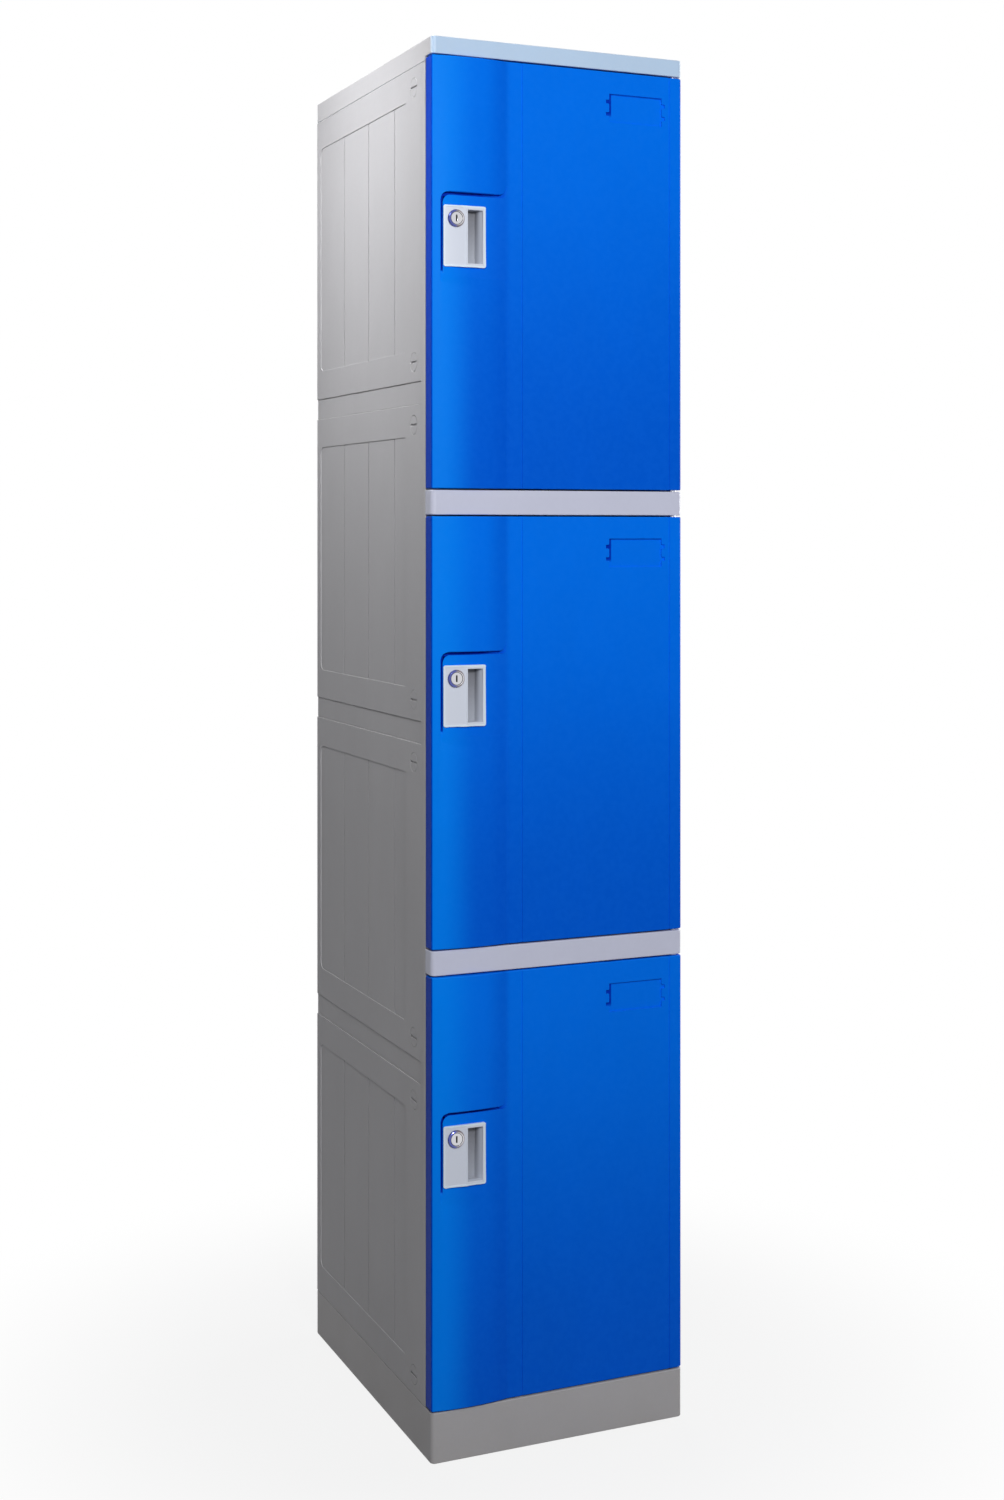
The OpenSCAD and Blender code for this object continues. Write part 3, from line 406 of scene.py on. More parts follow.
@effect("Settled dust", [("Amount", NUMBER, 0.25), ("Low band", NUMBER, 0.30)], [("Mask", NUMBER)])
def settled_dust(tree, given, result):
    """Mask of the dust on upward faces and in a band above the floor."""
    facing = tree.nodes.new("ShaderNodeNewGeometry")
    ledge = remap(tree, axes(tree, facing.outputs["Normal"])["Z"], 0.5, 0.95)
    share = math_node(tree, "DIVIDE", axes(tree)["Z"], given["Low band"])
    low = math_node(tree, "MULTIPLY", remap(tree, share, 0.0, 1.0, 1.0, 0.0), 0.5)
    patches = remap(tree, noise(tree, place(tree), 26.0, detail=5.0, roughness=0.65), 0.35, 0.7, 0.35, 1.0)
    total = math_node(tree, "MULTIPLY", math_node(tree, "MAXIMUM", ledge, low), patches)
    tree.links.new(math_node(tree, "MULTIPLY", total, given["Amount"], clamp=True), result["Mask"])


@effect("Rubbed edges", [("Amount", NUMBER, 0.35), ("Patch scale", NUMBER, 34.0)], [("Mask", NUMBER)])
def rubbed_edges(tree, given, result):
    """Mask of the rounded edges that hands and bags have rubbed."""
    edge = tree.nodes.new("ShaderNodeAttribute")
    edge.attribute_name = WORN
    cloud = noise(tree, place(tree), given["Patch scale"], detail=4.0, roughness=0.6)
    patches = math_node(tree, "MULTIPLY", remap(tree, cloud, 0.42, 0.62), 0.7)
    broken = math_node(tree, "MULTIPLY", math_node(tree, "ADD", patches, 0.3), edge.outputs["Fac"])
    tree.links.new(math_node(tree, "MULTIPLY", broken, given["Amount"], clamp=True), result["Mask"])


@effect("Hand marks", [("Amount", NUMBER, 0.4), ("Smear scale", NUMBER, 9.0)], [("Mask", NUMBER)])
def hand_marks(tree, given, result):
    """Mask of smears and hairline rubs that change the gloss."""
    cloud = noise(tree, place(tree, (1, 1, 0.45)), given["Smear scale"], detail=4.0, roughness=0.62)
    smear = math_node(tree, "MULTIPLY", remap(tree, cloud, 0.4, 0.7), 0.7)
    upright = remap(tree, noise(tree, place(tree, (1.0, 1.0, 0.03)), 420.0, detail=1.0), 0.62, 0.72)
    level = remap(tree, noise(tree, place(tree, (0.04, 0.04, 1.0)), 380.0, detail=1.0), 0.64, 0.74)
    hairs = math_node(tree, "MULTIPLY", math_node(tree, "MAXIMUM", upright, level), 0.35)
    both = math_node(tree, "ADD", smear, hairs)
    tree.links.new(math_node(tree, "MULTIPLY", both, given["Amount"], clamp=True), result["Mask"])


# ---------------------------------------------------------------- finishes

def finish_of(name):
    """Decorator that makes a material of a function at its first call and gives it again later."""
    def wrap(fill):
        def get():
            if name not in bpy.data.materials:
                made = bpy.data.materials.new(name)
                made.use_nodes = True
                tree = made.node_tree
                tree.nodes.clear()
                output = tree.nodes.new("ShaderNodeOutputMaterial")
                fill(tree, output.inputs["Surface"])
            return bpy.data.materials[name]
        return get
    return wrap


def principled(tree, surface):
    """The inputs of a new Principled shader that makes the surface."""
    shader = tree.nodes.new("ShaderNodeBsdfPrincipled")
    tree.links.new(shader.outputs[0], surface)
    return shader.inputs


def chosen(name):
    """A colour of the settings."""
    return tuple(getattr(bpy.context.scene.locker.colours, name))


def shade(colour, shares):
    """A colour with each channel at its share, up to full."""
    return tuple(min(1.0, share * channel) for share, channel in zip(shares, colour))


def plastic(tree, surface, colour, worn, roughness=0.42, specular=0.4, grain=1.0, scale=900.0, drift=0.035,
            speckle=0.03, dust=1.0, dust_colour=(0.46, 0.44, 0.41), wave=0.00012, painted_light=None):
    """Moulded plastic with grain, slow drift of colour, rubbed edges, smears and dust, and the painted light
    and shade that a finish may pass in.
    """
    wear = bpy.context.scene.locker.wear
    shader = principled(tree, surface)
    grains = use(tree, moulded_grain(), Scale=scale)
    # A finish may pass a function that paints light and shade over the colour.
    base = painted_light(tree, colour) if painted_light else colour
    flow = use(tree, mould_flow(), Colour=base, Amount=drift)
    fleck = math_node(tree, "MULTIPLY", grains["Speckle"], speckle)
    toned = mix_colour(tree, fleck, flow["Colour"], tuple(min(1.0, 1.35 * c + 0.02) for c in colour))
    rubbed = use(tree, rubbed_edges(), Amount=wear.rubbing)["Mask"]
    settled = use(tree, settled_dust(), Amount=wear.dust * dust)["Mask"]
    toned = mix_colour(tree, settled, mix_colour(tree, rubbed, toned, worn), dust_colour)
    tree.links.new(toned, shader["Base Color"])
    marks = use(tree, hand_marks(), Amount=wear.marks)["Mask"]
    rough = math_node(tree, "ADD", roughness, math_node(tree, "MULTIPLY", marks, -0.10),
                      math_node(tree, "MULTIPLY", grains["Height"], 0.06),
                      math_node(tree, "MULTIPLY", settled, 0.35), clamp=True)
    tree.links.new(rough, shader["Roughness"])
    shader["Specular IOR Level"].default_value = specular
    slow = bump(tree, flow["Wave"], wave)
    tree.links.new(bump(tree, grains["Height"], wear.grain * grain, over=slow), shader["Normal"])


@finish_of("body plastic")
def body_plastic(tree, surface):
    """Light grey satin walls, posts and shelves."""
    plastic(tree, surface, chosen("body"), (0.68, 0.68, 0.69), roughness=0.45, specular=0.10, grain=0.7)


@finish_of("rail plastic")
def rail_plastic(tree, surface):
    """Pale grey rails."""
    plastic(tree, surface, chosen("rail"), (0.74, 0.76, 0.82), roughness=0.38, specular=0.4, grain=0.6)


def front_painted_reflection(tree, colour):
    """The cover's colour, with a painted reflection: a cooler, bluer tone painted on its front bar."""
    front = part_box("top_cover")[0].y
    mask = remap(tree, axes(tree)["Y"], front + 0.001, front + 0.007, 1.0, 0.0)
    return mix_colour(tree, mask, colour, chosen("bar"))


@finish_of("cover plastic")
def cover_plastic(tree, surface):
    """Light grey cover, with a painted reflection that makes its front bar cooler."""
    plastic(tree, surface, chosen("body"), (0.74, 0.80, 0.88), roughness=0.38, specular=0.4, grain=0.6,
            painted_light=front_painted_reflection)


@finish_of("base plastic")
def base_plastic(tree, surface):
    """Mid grey plinth with more dust and scuffs than the rest."""
    plastic(tree, surface, chosen("base"), (0.52, 0.52, 0.53), roughness=0.46, specular=0.3, dust=1.4,
            drift=0.05)


def label_painted_shade(tree):
    """Mask of painted shade along the left and top edges of a door's label recess, with its clip notches:
    the shadow that the recess's walls and notches cast on its floor.
    """
    low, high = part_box("door_shell_3")
    left = low.x + LABEL_LEFT
    spot = axes(tree)
    sunk = band(tree, spot["Y"], FRONT + 0.0008, FRONT + 0.0016, FRONT + 0.0035, FRONT + 0.0045)
    beads = band(tree, spot["X"], left - 0.0070, left - 0.0060, left + 0.0034, left + 0.0046)
    drop = up_from(tree, "door_shell", high.z - LABEL_DROP)
    head = math_node(tree, "MULTIPLY", remap(tree, drop, -0.0022, -0.0012),
                     remap(tree, spot["X"], left - 0.0010, left), 0.6)
    edge = math_node(tree, "MULTIPLY", beads, remap(tree, drop, -0.034, -0.028))
    return math_node(tree, "MULTIPLY", sunk, math_node(tree, "MAXIMUM", edge, head))


def channel_painted_shade(tree):
    """Mask of painted shade in the channel along the left and top of a door's handle recess, where the rim's
    shadow falls.
    """
    low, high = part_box("handle_plate_3")
    spot = axes(tree)
    sunk = band(tree, spot["Y"], FRONT + 0.0004, FRONT + 0.0020, FRONT + 0.0070, FRONT + 0.0080)
    past = remap(tree, spot["X"], low.x - 0.0090, low.x - 0.0080)
    short = remap(tree, spot["X"], low.x + 0.0500, low.x + 0.0960, 1.0, 0.1)
    rise = math_node(tree, "ABSOLUTE", up_from(tree, "handle_plate", (low.z + high.z) / 2))
    tall = remap(tree, rise, (high.z - low.z) / 2 + 0.034, (high.z - low.z) / 2 + 0.036, 1.0, 0.0)
    return math_node(tree, "MULTIPLY", sunk, past, short, tall)


def door_painted_light(tree, colour):
    """A door's colour with painted light and shade: painted shade growing down each door from its head, a
    painted highlight along its bulge, and painted shade at its free side, where the bulge turns into the
    flat face, in the channel and at the label recess."""
    foot, head = (corner.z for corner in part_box("door_shell_3"))
    # Painted shade that grows down each door from its head.
    rise = up_from(tree, "door_shell", (foot + head) / 2)
    share = remap(tree, rise, (foot - head) / 2, (head - foot) / 2)
    toned = mix_colour(tree, share, shade(colour, DOOR_PAINTED_SHARES["foot"]), colour)
    free_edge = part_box("door_shell_3")[0].x
    across = axes(tree)["X"]
    # Painted shade on the door's free side.
    side = remap(tree, across, free_edge + 0.0006, free_edge + 0.0022, 1.0, 0.0)
    toned = mix_colour(tree, side, toned, shade(colour, DOOR_PAINTED_SHARES["side"]))
    # Painted highlight along the bulge's crest, near the free side.
    near = remap(tree, across, free_edge + 0.012, free_edge + 0.070, 1.0, 0.0)
    crest = math_node(tree, "MULTIPLY", near, 0.75, math_node(tree, "SUBTRACT", 1.0, side))
    toned = mix_colour(tree, crest, toned, shade(colour, DOOR_PAINTED_SHARES["crest"]))
    # Painted shade where the bulge turns into the flat face.
    crease = free_edge + BULGE_END
    turn = band(tree, across, crease - 0.040, crease - 0.006, crease - 0.006, crease + 0.006)
    turn = math_node(tree, "MULTIPLY", turn, 0.45)
    toned = mix_colour(tree, turn, toned, shade(colour, DOOR_PAINTED_SHARES["turn"]))
    # Painted shade in the handle channel and the label recess.
    sunk = math_node(tree, "MAXIMUM", channel_painted_shade(tree), label_painted_shade(tree))
    return mix_colour(tree, sunk, toned, shade(colour, DOOR_PAINTED_SHARES["sunk"]))


@finish_of("door plastic")
def door_plastic(tree, surface):
    """Bright blue doors with a fine grain, and painted light and shade over their shape."""
    plastic(tree, surface, chosen("door"), (0.01, 0.22, 0.90), roughness=0.42, specular=0.03, grain=1.0,
            scale=760.0, drift=0.04, speckle=0.05, dust=0.15, dust_colour=(0.06, 0.18, 0.60), painted_light=door_painted_light)


@finish_of("liner plastic")
def liner_plastic(tree, surface):
    """Blue inner panel of a door."""
    plastic(tree, surface, chosen("liner"), (0.02, 0.16, 0.66), roughness=0.5, specular=0.25, dust=0.4,
            dust_colour=(0.12, 0.18, 0.42))


def plate_painted_light(tree, colour):
    """The plate's colour with painted light and shade: a painted highlight on its border, and painted shade
    in the finger pocket, darkest at its head.
    """
    low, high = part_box("handle_plate_3")
    behind = min(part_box("door_shell_3")[0].y, low.y) + 0.006
    spot = axes(tree)
    # Painted shade in the finger pocket, darker towards the plate's head.
    deep = remap(tree, spot["Y"], behind, behind + 0.010)
    rise = up_from(tree, "handle_plate", (low.z + high.z) / 2)
    half_w, half_h = (high.x - low.x) / 2, (high.z - low.z) / 2
    head = remap(tree, rise, -half_h, half_h, 0.55, 0.9)
    across = math_node(tree, "ABSOLUTE", math_node(tree, "SUBTRACT", spot["X"], low.x + half_w))
    # Painted highlight on the plate's border.
    border = math_node(tree, "MAXIMUM", *(
        remap(tree, offset, half - 0.0030, half - 0.0020)
        for offset, half in ((across, half_w), (math_node(tree, "ABSOLUTE", rise), half_h))))
    rimmed = mix_colour(tree, math_node(tree, "MULTIPLY", border, 0.7), colour, (0.78, 0.92, 1.0))
    return mix_colour(tree, math_node(tree, "MULTIPLY", deep, head), rimmed, (0.10, 0.10, 0.115))


@finish_of("handle plastic")
def handle_plastic(tree, surface):
    """Off-white handle plates, glossier than the walls, with a painted highlight and painted shade."""
    plastic(tree, surface, chosen("handle"), (0.90, 0.94, 0.98), roughness=0.30, specular=0.4, grain=0.25,
            scale=1400.0, speckle=0.015, drift=0.02, dust=0.4, dust_colour=(0.55, 0.54, 0.52),
            wave=0.00004, painted_light=plate_painted_light)


@finish_of("lock chrome")
def lock_chrome(tree, surface):
    """Bright plating with hairlines, painted shade in the seam round the plug, a painted reflection on the
    rim and painted shade in the keyway.
    """
    shader = principled(tree, surface)
    low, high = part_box("lock_housing_3")
    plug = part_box("lock_plug_3")
    spot = axes(tree)
    radius = (high.x - low.x) / 2
    across = math_node(tree, "SUBTRACT", spot["X"], (low.x + high.x) / 2)
    rise = up_from(tree, "lock_housing", (low.z + high.z) / 2)
    # Painted shade in the seam round the plug.
    off_seam = math_node(tree, "SUBTRACT", reach_of(tree, across, rise), (plug[1].x - plug[0].x) / 2)
    seam = remap(tree, math_node(tree, "ABSOLUTE", off_seam), 0.0002, 0.0006, 1.0, 0.0)
    # Painted reflection on the rim, set off to the right: blue at its left, dark brown at its right.
    lopsided = reach_of(tree, math_node(tree, "SUBTRACT", across, 0.0012), rise)
    rim = remap(tree, lopsided, radius - 0.0034, radius - 0.0018)
    # Painted shade, and more roughness, in the keyway and everything deeper behind the bezel's face.
    deep = remap(tree, spot["Y"], low.y + 0.0022, low.y + 0.0040)
    marks = use(tree, hand_marks(), Amount=bpy.context.scene.locker.wear.marks, Smear_scale=90.0)["Mask"]
    toned = mix_colour(tree, math_node(tree, "MULTIPLY", marks, 0.3), chosen("chrome"), (0.60, 0.60, 0.62))
    edge = mix_colour(tree, remap(tree, across, -0.003, 0.003), (0.01, 0.03, 0.30), (0.16, 0.12, 0.13))
    toned = mix_colour(tree, math_node(tree, "MULTIPLY", rim, 0.85), toned, edge)
    toned = mix_colour(tree, math_node(tree, "MULTIPLY", seam, 0.9), toned, (0.03, 0.03, 0.04))
    tree.links.new(mix_colour(tree, deep, toned, (0.10, 0.10, 0.11)), shader["Base Color"])
    rough = math_node(tree, "ADD", 0.14, math_node(tree, "MULTIPLY", marks, 0.22),
                      math_node(tree, "MULTIPLY", deep, 0.3), clamp=True)
    tree.links.new(rough, shader["Roughness"])
    shader["Metallic"].default_value = 1.0
    grains = use(tree, moulded_grain(), Scale=1800.0)
    tree.links.new(bump(tree, grains["Height"], 0.00001, strength=0.35), shader["Normal"])


@finish_of("zinc steel")
def zinc_steel(tree, surface):
    """Zinc-plated steel with a faint spangle and dull patches."""
    shader = principled(tree, surface)
    flow = use(tree, mould_flow(), Colour=chosen("zinc"), Amount=0.08)
    dull = remap(tree, noise(tree, place(tree), 240.0, detail=4.0), 0.45, 0.7)
    toned = mix_colour(tree, math_node(tree, "MULTIPLY", dull, 0.4), flow["Colour"], (0.44, 0.44, 0.46))
    tree.links.new(toned, shader["Base Color"])
    rough = math_node(tree, "ADD", 0.28, math_node(tree, "MULTIPLY", dull, 0.2), clamp=True)
    tree.links.new(rough, shader["Roughness"])
    shader["Metallic"].default_value = 1.0
    grains = use(tree, moulded_grain(), Scale=2200.0)
    tree.links.new(bump(tree, grains["Height"], 0.00002, strength=0.5), shader["Normal"])


# ---------------------------------------------------------------- rounded copies

def number_flats(bm):
    """Numbers the flat areas of a mesh, with all the faces of a flat area sharing its number."""
    layer = bm.faces.layers.int[FLAT]
    bm.faces.index_update()
    numbered = set()
    for seed in bm.faces:
        if seed in numbered or seed.material_index == STRIP:
            continue
        numbered.add(seed)
        seed[layer] = seed.index
        todo = [seed]
        while todo:
            face = todo.pop()
            beyond = {other for edge in face.edges for other in edge.link_faces if other not in numbered}
            for other in beyond:
                if other.material_index != STRIP and other.normal.dot(face.normal) > SAME_PLANE:
                    other[layer] = seed.index
                    numbered.add(other)
                    todo.append(other)


def flat_of(face, layer):
    """The number of a face's flat area; each face of a rounded strip is an area of its own."""
    return -1 - face.index if face.material_index == STRIP else face[layer]


def rims_of(bm):
    """The rim edges of each flat area."""
    layer = bm.faces.layers.int[FLAT]
    bm.faces.index_update()
    rims = {}
    for edge in bm.edges:
        beside = {flat_of(face, layer) for face in edge.link_faces}
        if len(beside) > 1 or len(edge.link_faces) == 1:
            for number in beside:
                rims.setdefault(number, set()).add(edge)
    return rims


def run_of(edge, face):
    """An edge's ends and direction round a face, and the direction into the face."""
    loop = next(corner for corner in face.loops if corner.edge == edge)
    start, end = loop.vert, loop.link_loop_next.vert
    along = (end.co - start.co).normalized()
    return start, end, along, face.normal.cross(along)


def clear_depth(edge, face, rim):
    """How far a flat area runs inward from one of its edges before its far rim."""
    start, end, along, inward = run_of(edge, face)
    depth = math.inf
    for share in (0.1, 0.5, 0.9):
        spot = start.co.lerp(end.co, share)
        for far in rim:
            if far is edge:
                continue
            a, b = (corner.co - spot for corner in far.verts)
            across_a, across_b = a.dot(along), b.dot(along)
            if (across_a > 0) == (across_b > 0):
                continue
            in_a, in_b = a.dot(inward), b.dot(inward)
            reach = in_a + (in_b - in_a) * across_a / (across_a - across_b)
            if reach > 1e-6:
                depth = min(depth, reach)
    return depth


def length_left(edge, face, rim, picked, radius):
    """What stays of an edge's length once it and its neighbours are moved in by the radius."""
    start, end, along, inward = run_of(edge, face)
    length = (end.co - start.co).length
    for corner, out in ((start, along), (end, -along)):
        for other in corner.link_edges:
            if other is edge or other not in rim:
                continue
            way = (other.other_vert(corner).co - corner.co).normalized()
            turn = math.atan2(way.dot(inward), way.dot(out)) % math.tau
            if other in picked:
                length -= radius / math.tan(max(turn, 1e-3) / 2)
            elif abs(math.sin(turn)) > 0.5:
                length -= radius / math.tan(turn)
    return length


def roundable(bm, radius, fold, hollows):
    """The sharp edges, inner corners only if asked for, that have room for the radius all round."""
    layer = bm.faces.layers.int[FLAT]
    rims = rims_of(bm)
    sides = {}
    for edge in bm.edges:
        if edge.calc_face_angle(0.0) > fold and edge.calc_length() > 1e-5 and (hollows or edge.is_convex):
            pairs = [(face, rims[flat_of(face, layer)]) for face in edge.link_faces]
            if all(clear_depth(edge, face, rim) > ROOM * radius for face, rim in pairs):
                sides[edge] = pairs
    crowded = sides
    while crowded:
        crowded = [edge for edge, pairs in sides.items() if any(
            length_left(edge, face, rim, sides, radius) < LEAST_LEFT * radius for face, rim in pairs)]
        for edge in crowded:
            del sides[edge]
    return set(sides)


def is_within(spot, flat, links):
    """Whether a point lies within closed rims, by counting the rim lines to one side of it."""
    count = 0
    for i, k in links:
        a, b = flat[i], flat[k]
        if (a.y > spot.y) != (b.y > spot.y):
            count += a.x + (b.x - a.x) * (spot.y - a.y) / (b.y - a.y) > spot.x
    return count % 2 == 1


def retile(bm):
    """Fills each flat area afresh from its rim, because moved rims leave crossed faces."""
    layer = bm.faces.layers.int[FLAT]
    areas = {}
    for face in bm.faces:
        if face.material_index != STRIP:
            areas.setdefault(face[layer], []).append(face)
    for number, faces in areas.items():
        if len(faces) == 1 and len(faces[0].verts) < 5:
            continue
        inside = set(faces)
        rim = [edge for face in faces for edge in face.edges
               if sum(other in inside for other in edge.link_faces) == 1]
        corners = list(dict.fromkeys(corner for edge in rim for corner in edge.verts))
        place_of = {corner: k for k, corner in enumerate(corners)}
        up = max(faces, key=lambda face: face.calc_area()).normal.copy()
        turn = up.to_track_quat("Z", "Y").inverted()
        flat = [(turn @ corner.co).to_2d() for corner in corners]
        links = [tuple(place_of[corner] for corner in edge.verts) for edge in rim]
        spots, _, tiles, sources, _, _ = delaunay_2d_cdt(flat, links, [], 1, 1e-7)
        height = (turn @ corners[0].co).z
        back = turn.inverted()
        bmesh.ops.delete(bm, geom=faces, context="FACES_ONLY")
        points = [corners[source[0]] if source else bm.verts.new(back @ Vector((*spot, height)))
                  for spot, source in zip(spots, sources)]
        for tile in tiles:
            middle = sum((spots[k] for k in tile), Vector((0, 0))) / len(tile)
            if not is_within(middle, flat, links):
                continue
            ring = [points[k] for k in tile]
            if len(set(ring)) < len(ring) or bm.faces.get(ring):
                continue
            made = bm.faces.new(ring)
            made[layer] = number
            made.normal_update()
            if made.normal.dot(up) < 0:
                made.normal_flip()
    loose = [edge for edge in bm.edges if not edge.link_faces]
    bmesh.ops.delete(bm, geom=loose, context="EDGES")
    loose = [corner for corner in bm.verts if not corner.link_faces]
    bmesh.ops.delete(bm, geom=loose, context="VERTS")
    bm.normal_update()


def round_off(piece, bm, radius, fold, steps, hollows):
    """The piece's mesh with its roundable edges rounded; the rounding is made in the piece."""
    weights = bm.edges.layers.float
    weight = weights.get("bevel_weight_edge") or weights.new("bevel_weight_edge")
    if FLAT not in bm.faces.layers.int:
        bm.faces.layers.int.new(FLAT)
    bmesh.ops.dissolve_limit(
        bm, angle_limit=NEARLY_FLAT, use_dissolve_boundaries=False,
        verts=bm.verts, edges=bm.edges, delimit={"MATERIAL"})
    number_flats(bm)
    picked = roundable(bm, radius, fold, hollows)
    for edge in bm.edges:
        edge[weight] = 1.0 if edge in picked else 0.0
    bm.to_mesh(piece.data)
    bevel = piece.modifiers.new("rounding", "BEVEL")
    bevel.width = radius
    bevel.segments = steps
    bevel.limit_method = "WEIGHT"
    bevel.use_clamp_overlap = False
    bevel.material = STRIP
    graph = bpy.context.evaluated_depsgraph_get()
    made = bpy.data.meshes.new_from_object(
        piece.evaluated_get(graph), preserve_all_data_layers=True, depsgraph=graph)
    piece.modifiers.clear()
    bm.clear()
    bm.from_mesh(made)
    bpy.data.meshes.remove(made)
    retile(bm)


def corner_normals(bm):
    """Normals at the face corners: flat areas stay flat, and rounded strips blend between them."""
    layer = bm.faces.layers.int[FLAT]
    extent = {}
    for face in bm.faces:
        if face.material_index != STRIP:
            extent[face[layer]] = extent.get(face[layer], 0.0) + face.calc_area()
    normal_at = {}
    for corner in bm.verts:
        waiting = dict.fromkeys(corner.link_faces)
        while waiting:
            fan = [waiting.popitem()[0]]
            for face in fan:
                for edge in face.edges:
                    if corner in edge.verts and not is_crisp(edge):
                        joined = [other for other in edge.link_faces if other in waiting]
                        for other in joined:
                            del waiting[other]
                        fan.extend(joined)
            firm = {face[layer]: face.normal for face in fan if face.material_index != STRIP}
            if firm:
                total = sum((normal * extent[number] for number, normal in firm.items()), Vector())
            else:
                total = sum((face.normal * face.calc_area() for face in fan), Vector())
            for face in fan:
                normal_at[face, corner] = total.normalized()
    return [normal_at[face, loop.vert] for face in bm.faces for loop in face.loops]


def is_crisp(edge):
    """Whether the shading breaks at an edge: it's a fold that was left unrounded."""
    strips = sum(face.material_index == STRIP for face in edge.link_faces)
    return edge.calc_face_angle(0.0) > (CRISP_STRIP if strips else CRISP_FLATS)


def rounded(node, finish, radius):
    """Puts a copy with rounded edges in place of a CAD node and lets it ride on the node's body."""
    steps = bpy.context.scene.locker.edges.steps
    mesh = bpy.data.meshes.new(f"{node}_moulding")
    piece = bpy.data.objects.new(f"{node}_moulding", mesh)
    bpy.context.scene.collection.objects.link(piece)
    for _ in range(2):
        mesh.materials.append(finish)
    bm = bmesh.new()
    bm.from_mesh(frame["nodes"][node].data)
    bmesh.ops.remove_doubles(bm, verts=bm.verts, dist=1e-6)
    round_off(piece, bm, radius, FOLD, steps, hollows=False)
    round_off(piece, bm, radius / FINER, FINE_FOLD, max(2, steps - 1), hollows=True)
    rubbed = bm.verts.layers.float.new(WORN)
    for corner in bm.verts:
        corner[rubbed] = float(all(face.material_index == STRIP for face in corner.link_faces))
    for edge in bm.edges:
        edge.smooth = not is_crisp(edge)
    normals = corner_normals(bm)
    for face in bm.faces:
        face.smooth = True
        face.material_index = 0
    bm.to_mesh(mesh)
    bm.free()
    mesh.normals_split_custom_set(normals)
    mesh.materials.pop(index=STRIP)
    mesh.attributes.remove(mesh.attributes["bevel_weight_edge"])
    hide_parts(node)
    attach(piece, BODY_OF[node])


def paint(node, finish):
    """Gives a CAD node that is shown as it is its finish."""
    shown = frame["nodes"][node]
    if not shown.material_slots:
        shown.data.materials.append(finish)
    for holder in shown.material_slots:
        holder.material = finish


# ---------------------------------------------------------------- pieces

class LOCKER_OT_trim(bpy.types.Operator):
    """Round and paint the cover, the cross rails and the plinth"""

    bl_idname = "locker.trim"
    bl_label = "Cover, Rails and Plinth"

    def execute(self, context):
        edges = context.scene.locker.edges
        rounded("top_cover", cover_plastic(), edges.trim)
        for node in ("rail_upper", "rail_lower"):
            rounded(node, rail_plastic(), edges.trim)
        rounded("base_plinth", base_plastic(), edges.trim)
        return {"FINISHED"}


class LOCKER_OT_side_walls(bpy.types.Operator):
    """Round and paint the side panels, tie bands and slotted fasteners"""

    bl_idname = "locker.side_walls"
    bl_label = "Side Walls"

    def execute(self, context):
        edges = context.scene.locker.edges
        for side in SIDES:
            for level in LEVELS:
                rounded(f"side_panel_{side}_{level}", body_plastic(), edges.panel)
            rounded(f"tie_bands_{side}", body_plastic(), edges.panel)
        rounded("panel_fasteners", body_plastic(), edges.small)
        return {"FINISHED"}


class LOCKER_OT_posts(bpy.types.Operator):
    """Round and paint the corner posts"""

    bl_idname = "locker.posts"
    bl_label = "Corner Posts"

    def execute(self, context):
        for side in SIDES:
            rounded(f"front_post_{side}", body_plastic(), context.scene.locker.edges.panel)
            rounded(f"rear_post_{side}", body_plastic(), context.scene.locker.edges.panel)
        return {"FINISHED"}


class LOCKER_OT_back_wall(bpy.types.Operator):
    """Round and paint the back panels"""

    bl_idname = "locker.back_wall"
    bl_label = "Back Wall"

    def execute(self, context):
        for level in LEVELS:
            rounded(f"back_panel_{level}", body_plastic(), context.scene.locker.edges.panel)
        return {"FINISHED"}


class LOCKER_OT_cells(bpy.types.Operator):
    """Round and paint the decks, shelves, cleats and coat hooks inside"""

    bl_idname = "locker.cells"
    bl_label = "Inside of the Cells"

    def execute(self, context):
        edges = context.scene.locker.edges
        for node in ("base_deck", "top_deck", "shelf_upper", "shelf_lower"):
            rounded(node, body_plastic(), edges.small)
        for node in ("shelf_cleats", "coat_hooks"):
            rounded(node, body_plastic(), edges.small)
        return {"FINISHED"}


class LOCKER_OT_doors(bpy.types.Operator):
    """Round and paint the door shells and their liners"""

    bl_idname = "locker.doors"
    bl_label = "Doors"

    def execute(self, context):
        edges = context.scene.locker.edges
        for tier in TIERS:
            rounded(f"door_shell_{tier}", door_plastic(), edges.door)
            rounded(f"door_liner_{tier}", liner_plastic(), edges.small)
        return {"FINISHED"}


class LOCKER_OT_handles(bpy.types.Operator):
    """Round and paint the handle plates"""

    bl_idname = "locker.handles"
    bl_label = "Handle Plates"

    def execute(self, context):
        for tier in TIERS:
            rounded(f"handle_plate_{tier}", handle_plastic(), context.scene.locker.edges.handle)
        return {"FINISHED"}


class LOCKER_OT_locks(bpy.types.Operator):
    """Round and plate the lock housings and plugs"""

    bl_idname = "locker.locks"
    bl_label = "Locks"

    def execute(self, context):
        for tier in TIERS:
            rounded(f"lock_housing_{tier}", lock_chrome(), context.scene.locker.edges.small)
            rounded(f"lock_plug_{tier}", lock_chrome(), context.scene.locker.edges.small / 2)
        return {"FINISHED"}


class LOCKER_OT_hardware(bpy.types.Operator):
    """Plate the screws, hinge pins, nuts and cams"""

    bl_idname = "locker.hardware"
    bl_label = "Screws, Pins and Cams"

    def execute(self, context):
        paint("screws", zinc_steel())
        for tier in TIERS:
            for kind in ("hinge_pins", "lock_nut", "lock_cam", "cam_screw"):
                paint(f"{kind}_{tier}", zinc_steel())
        return {"FINISHED"}


# ---------------------------------------------------------------- stage

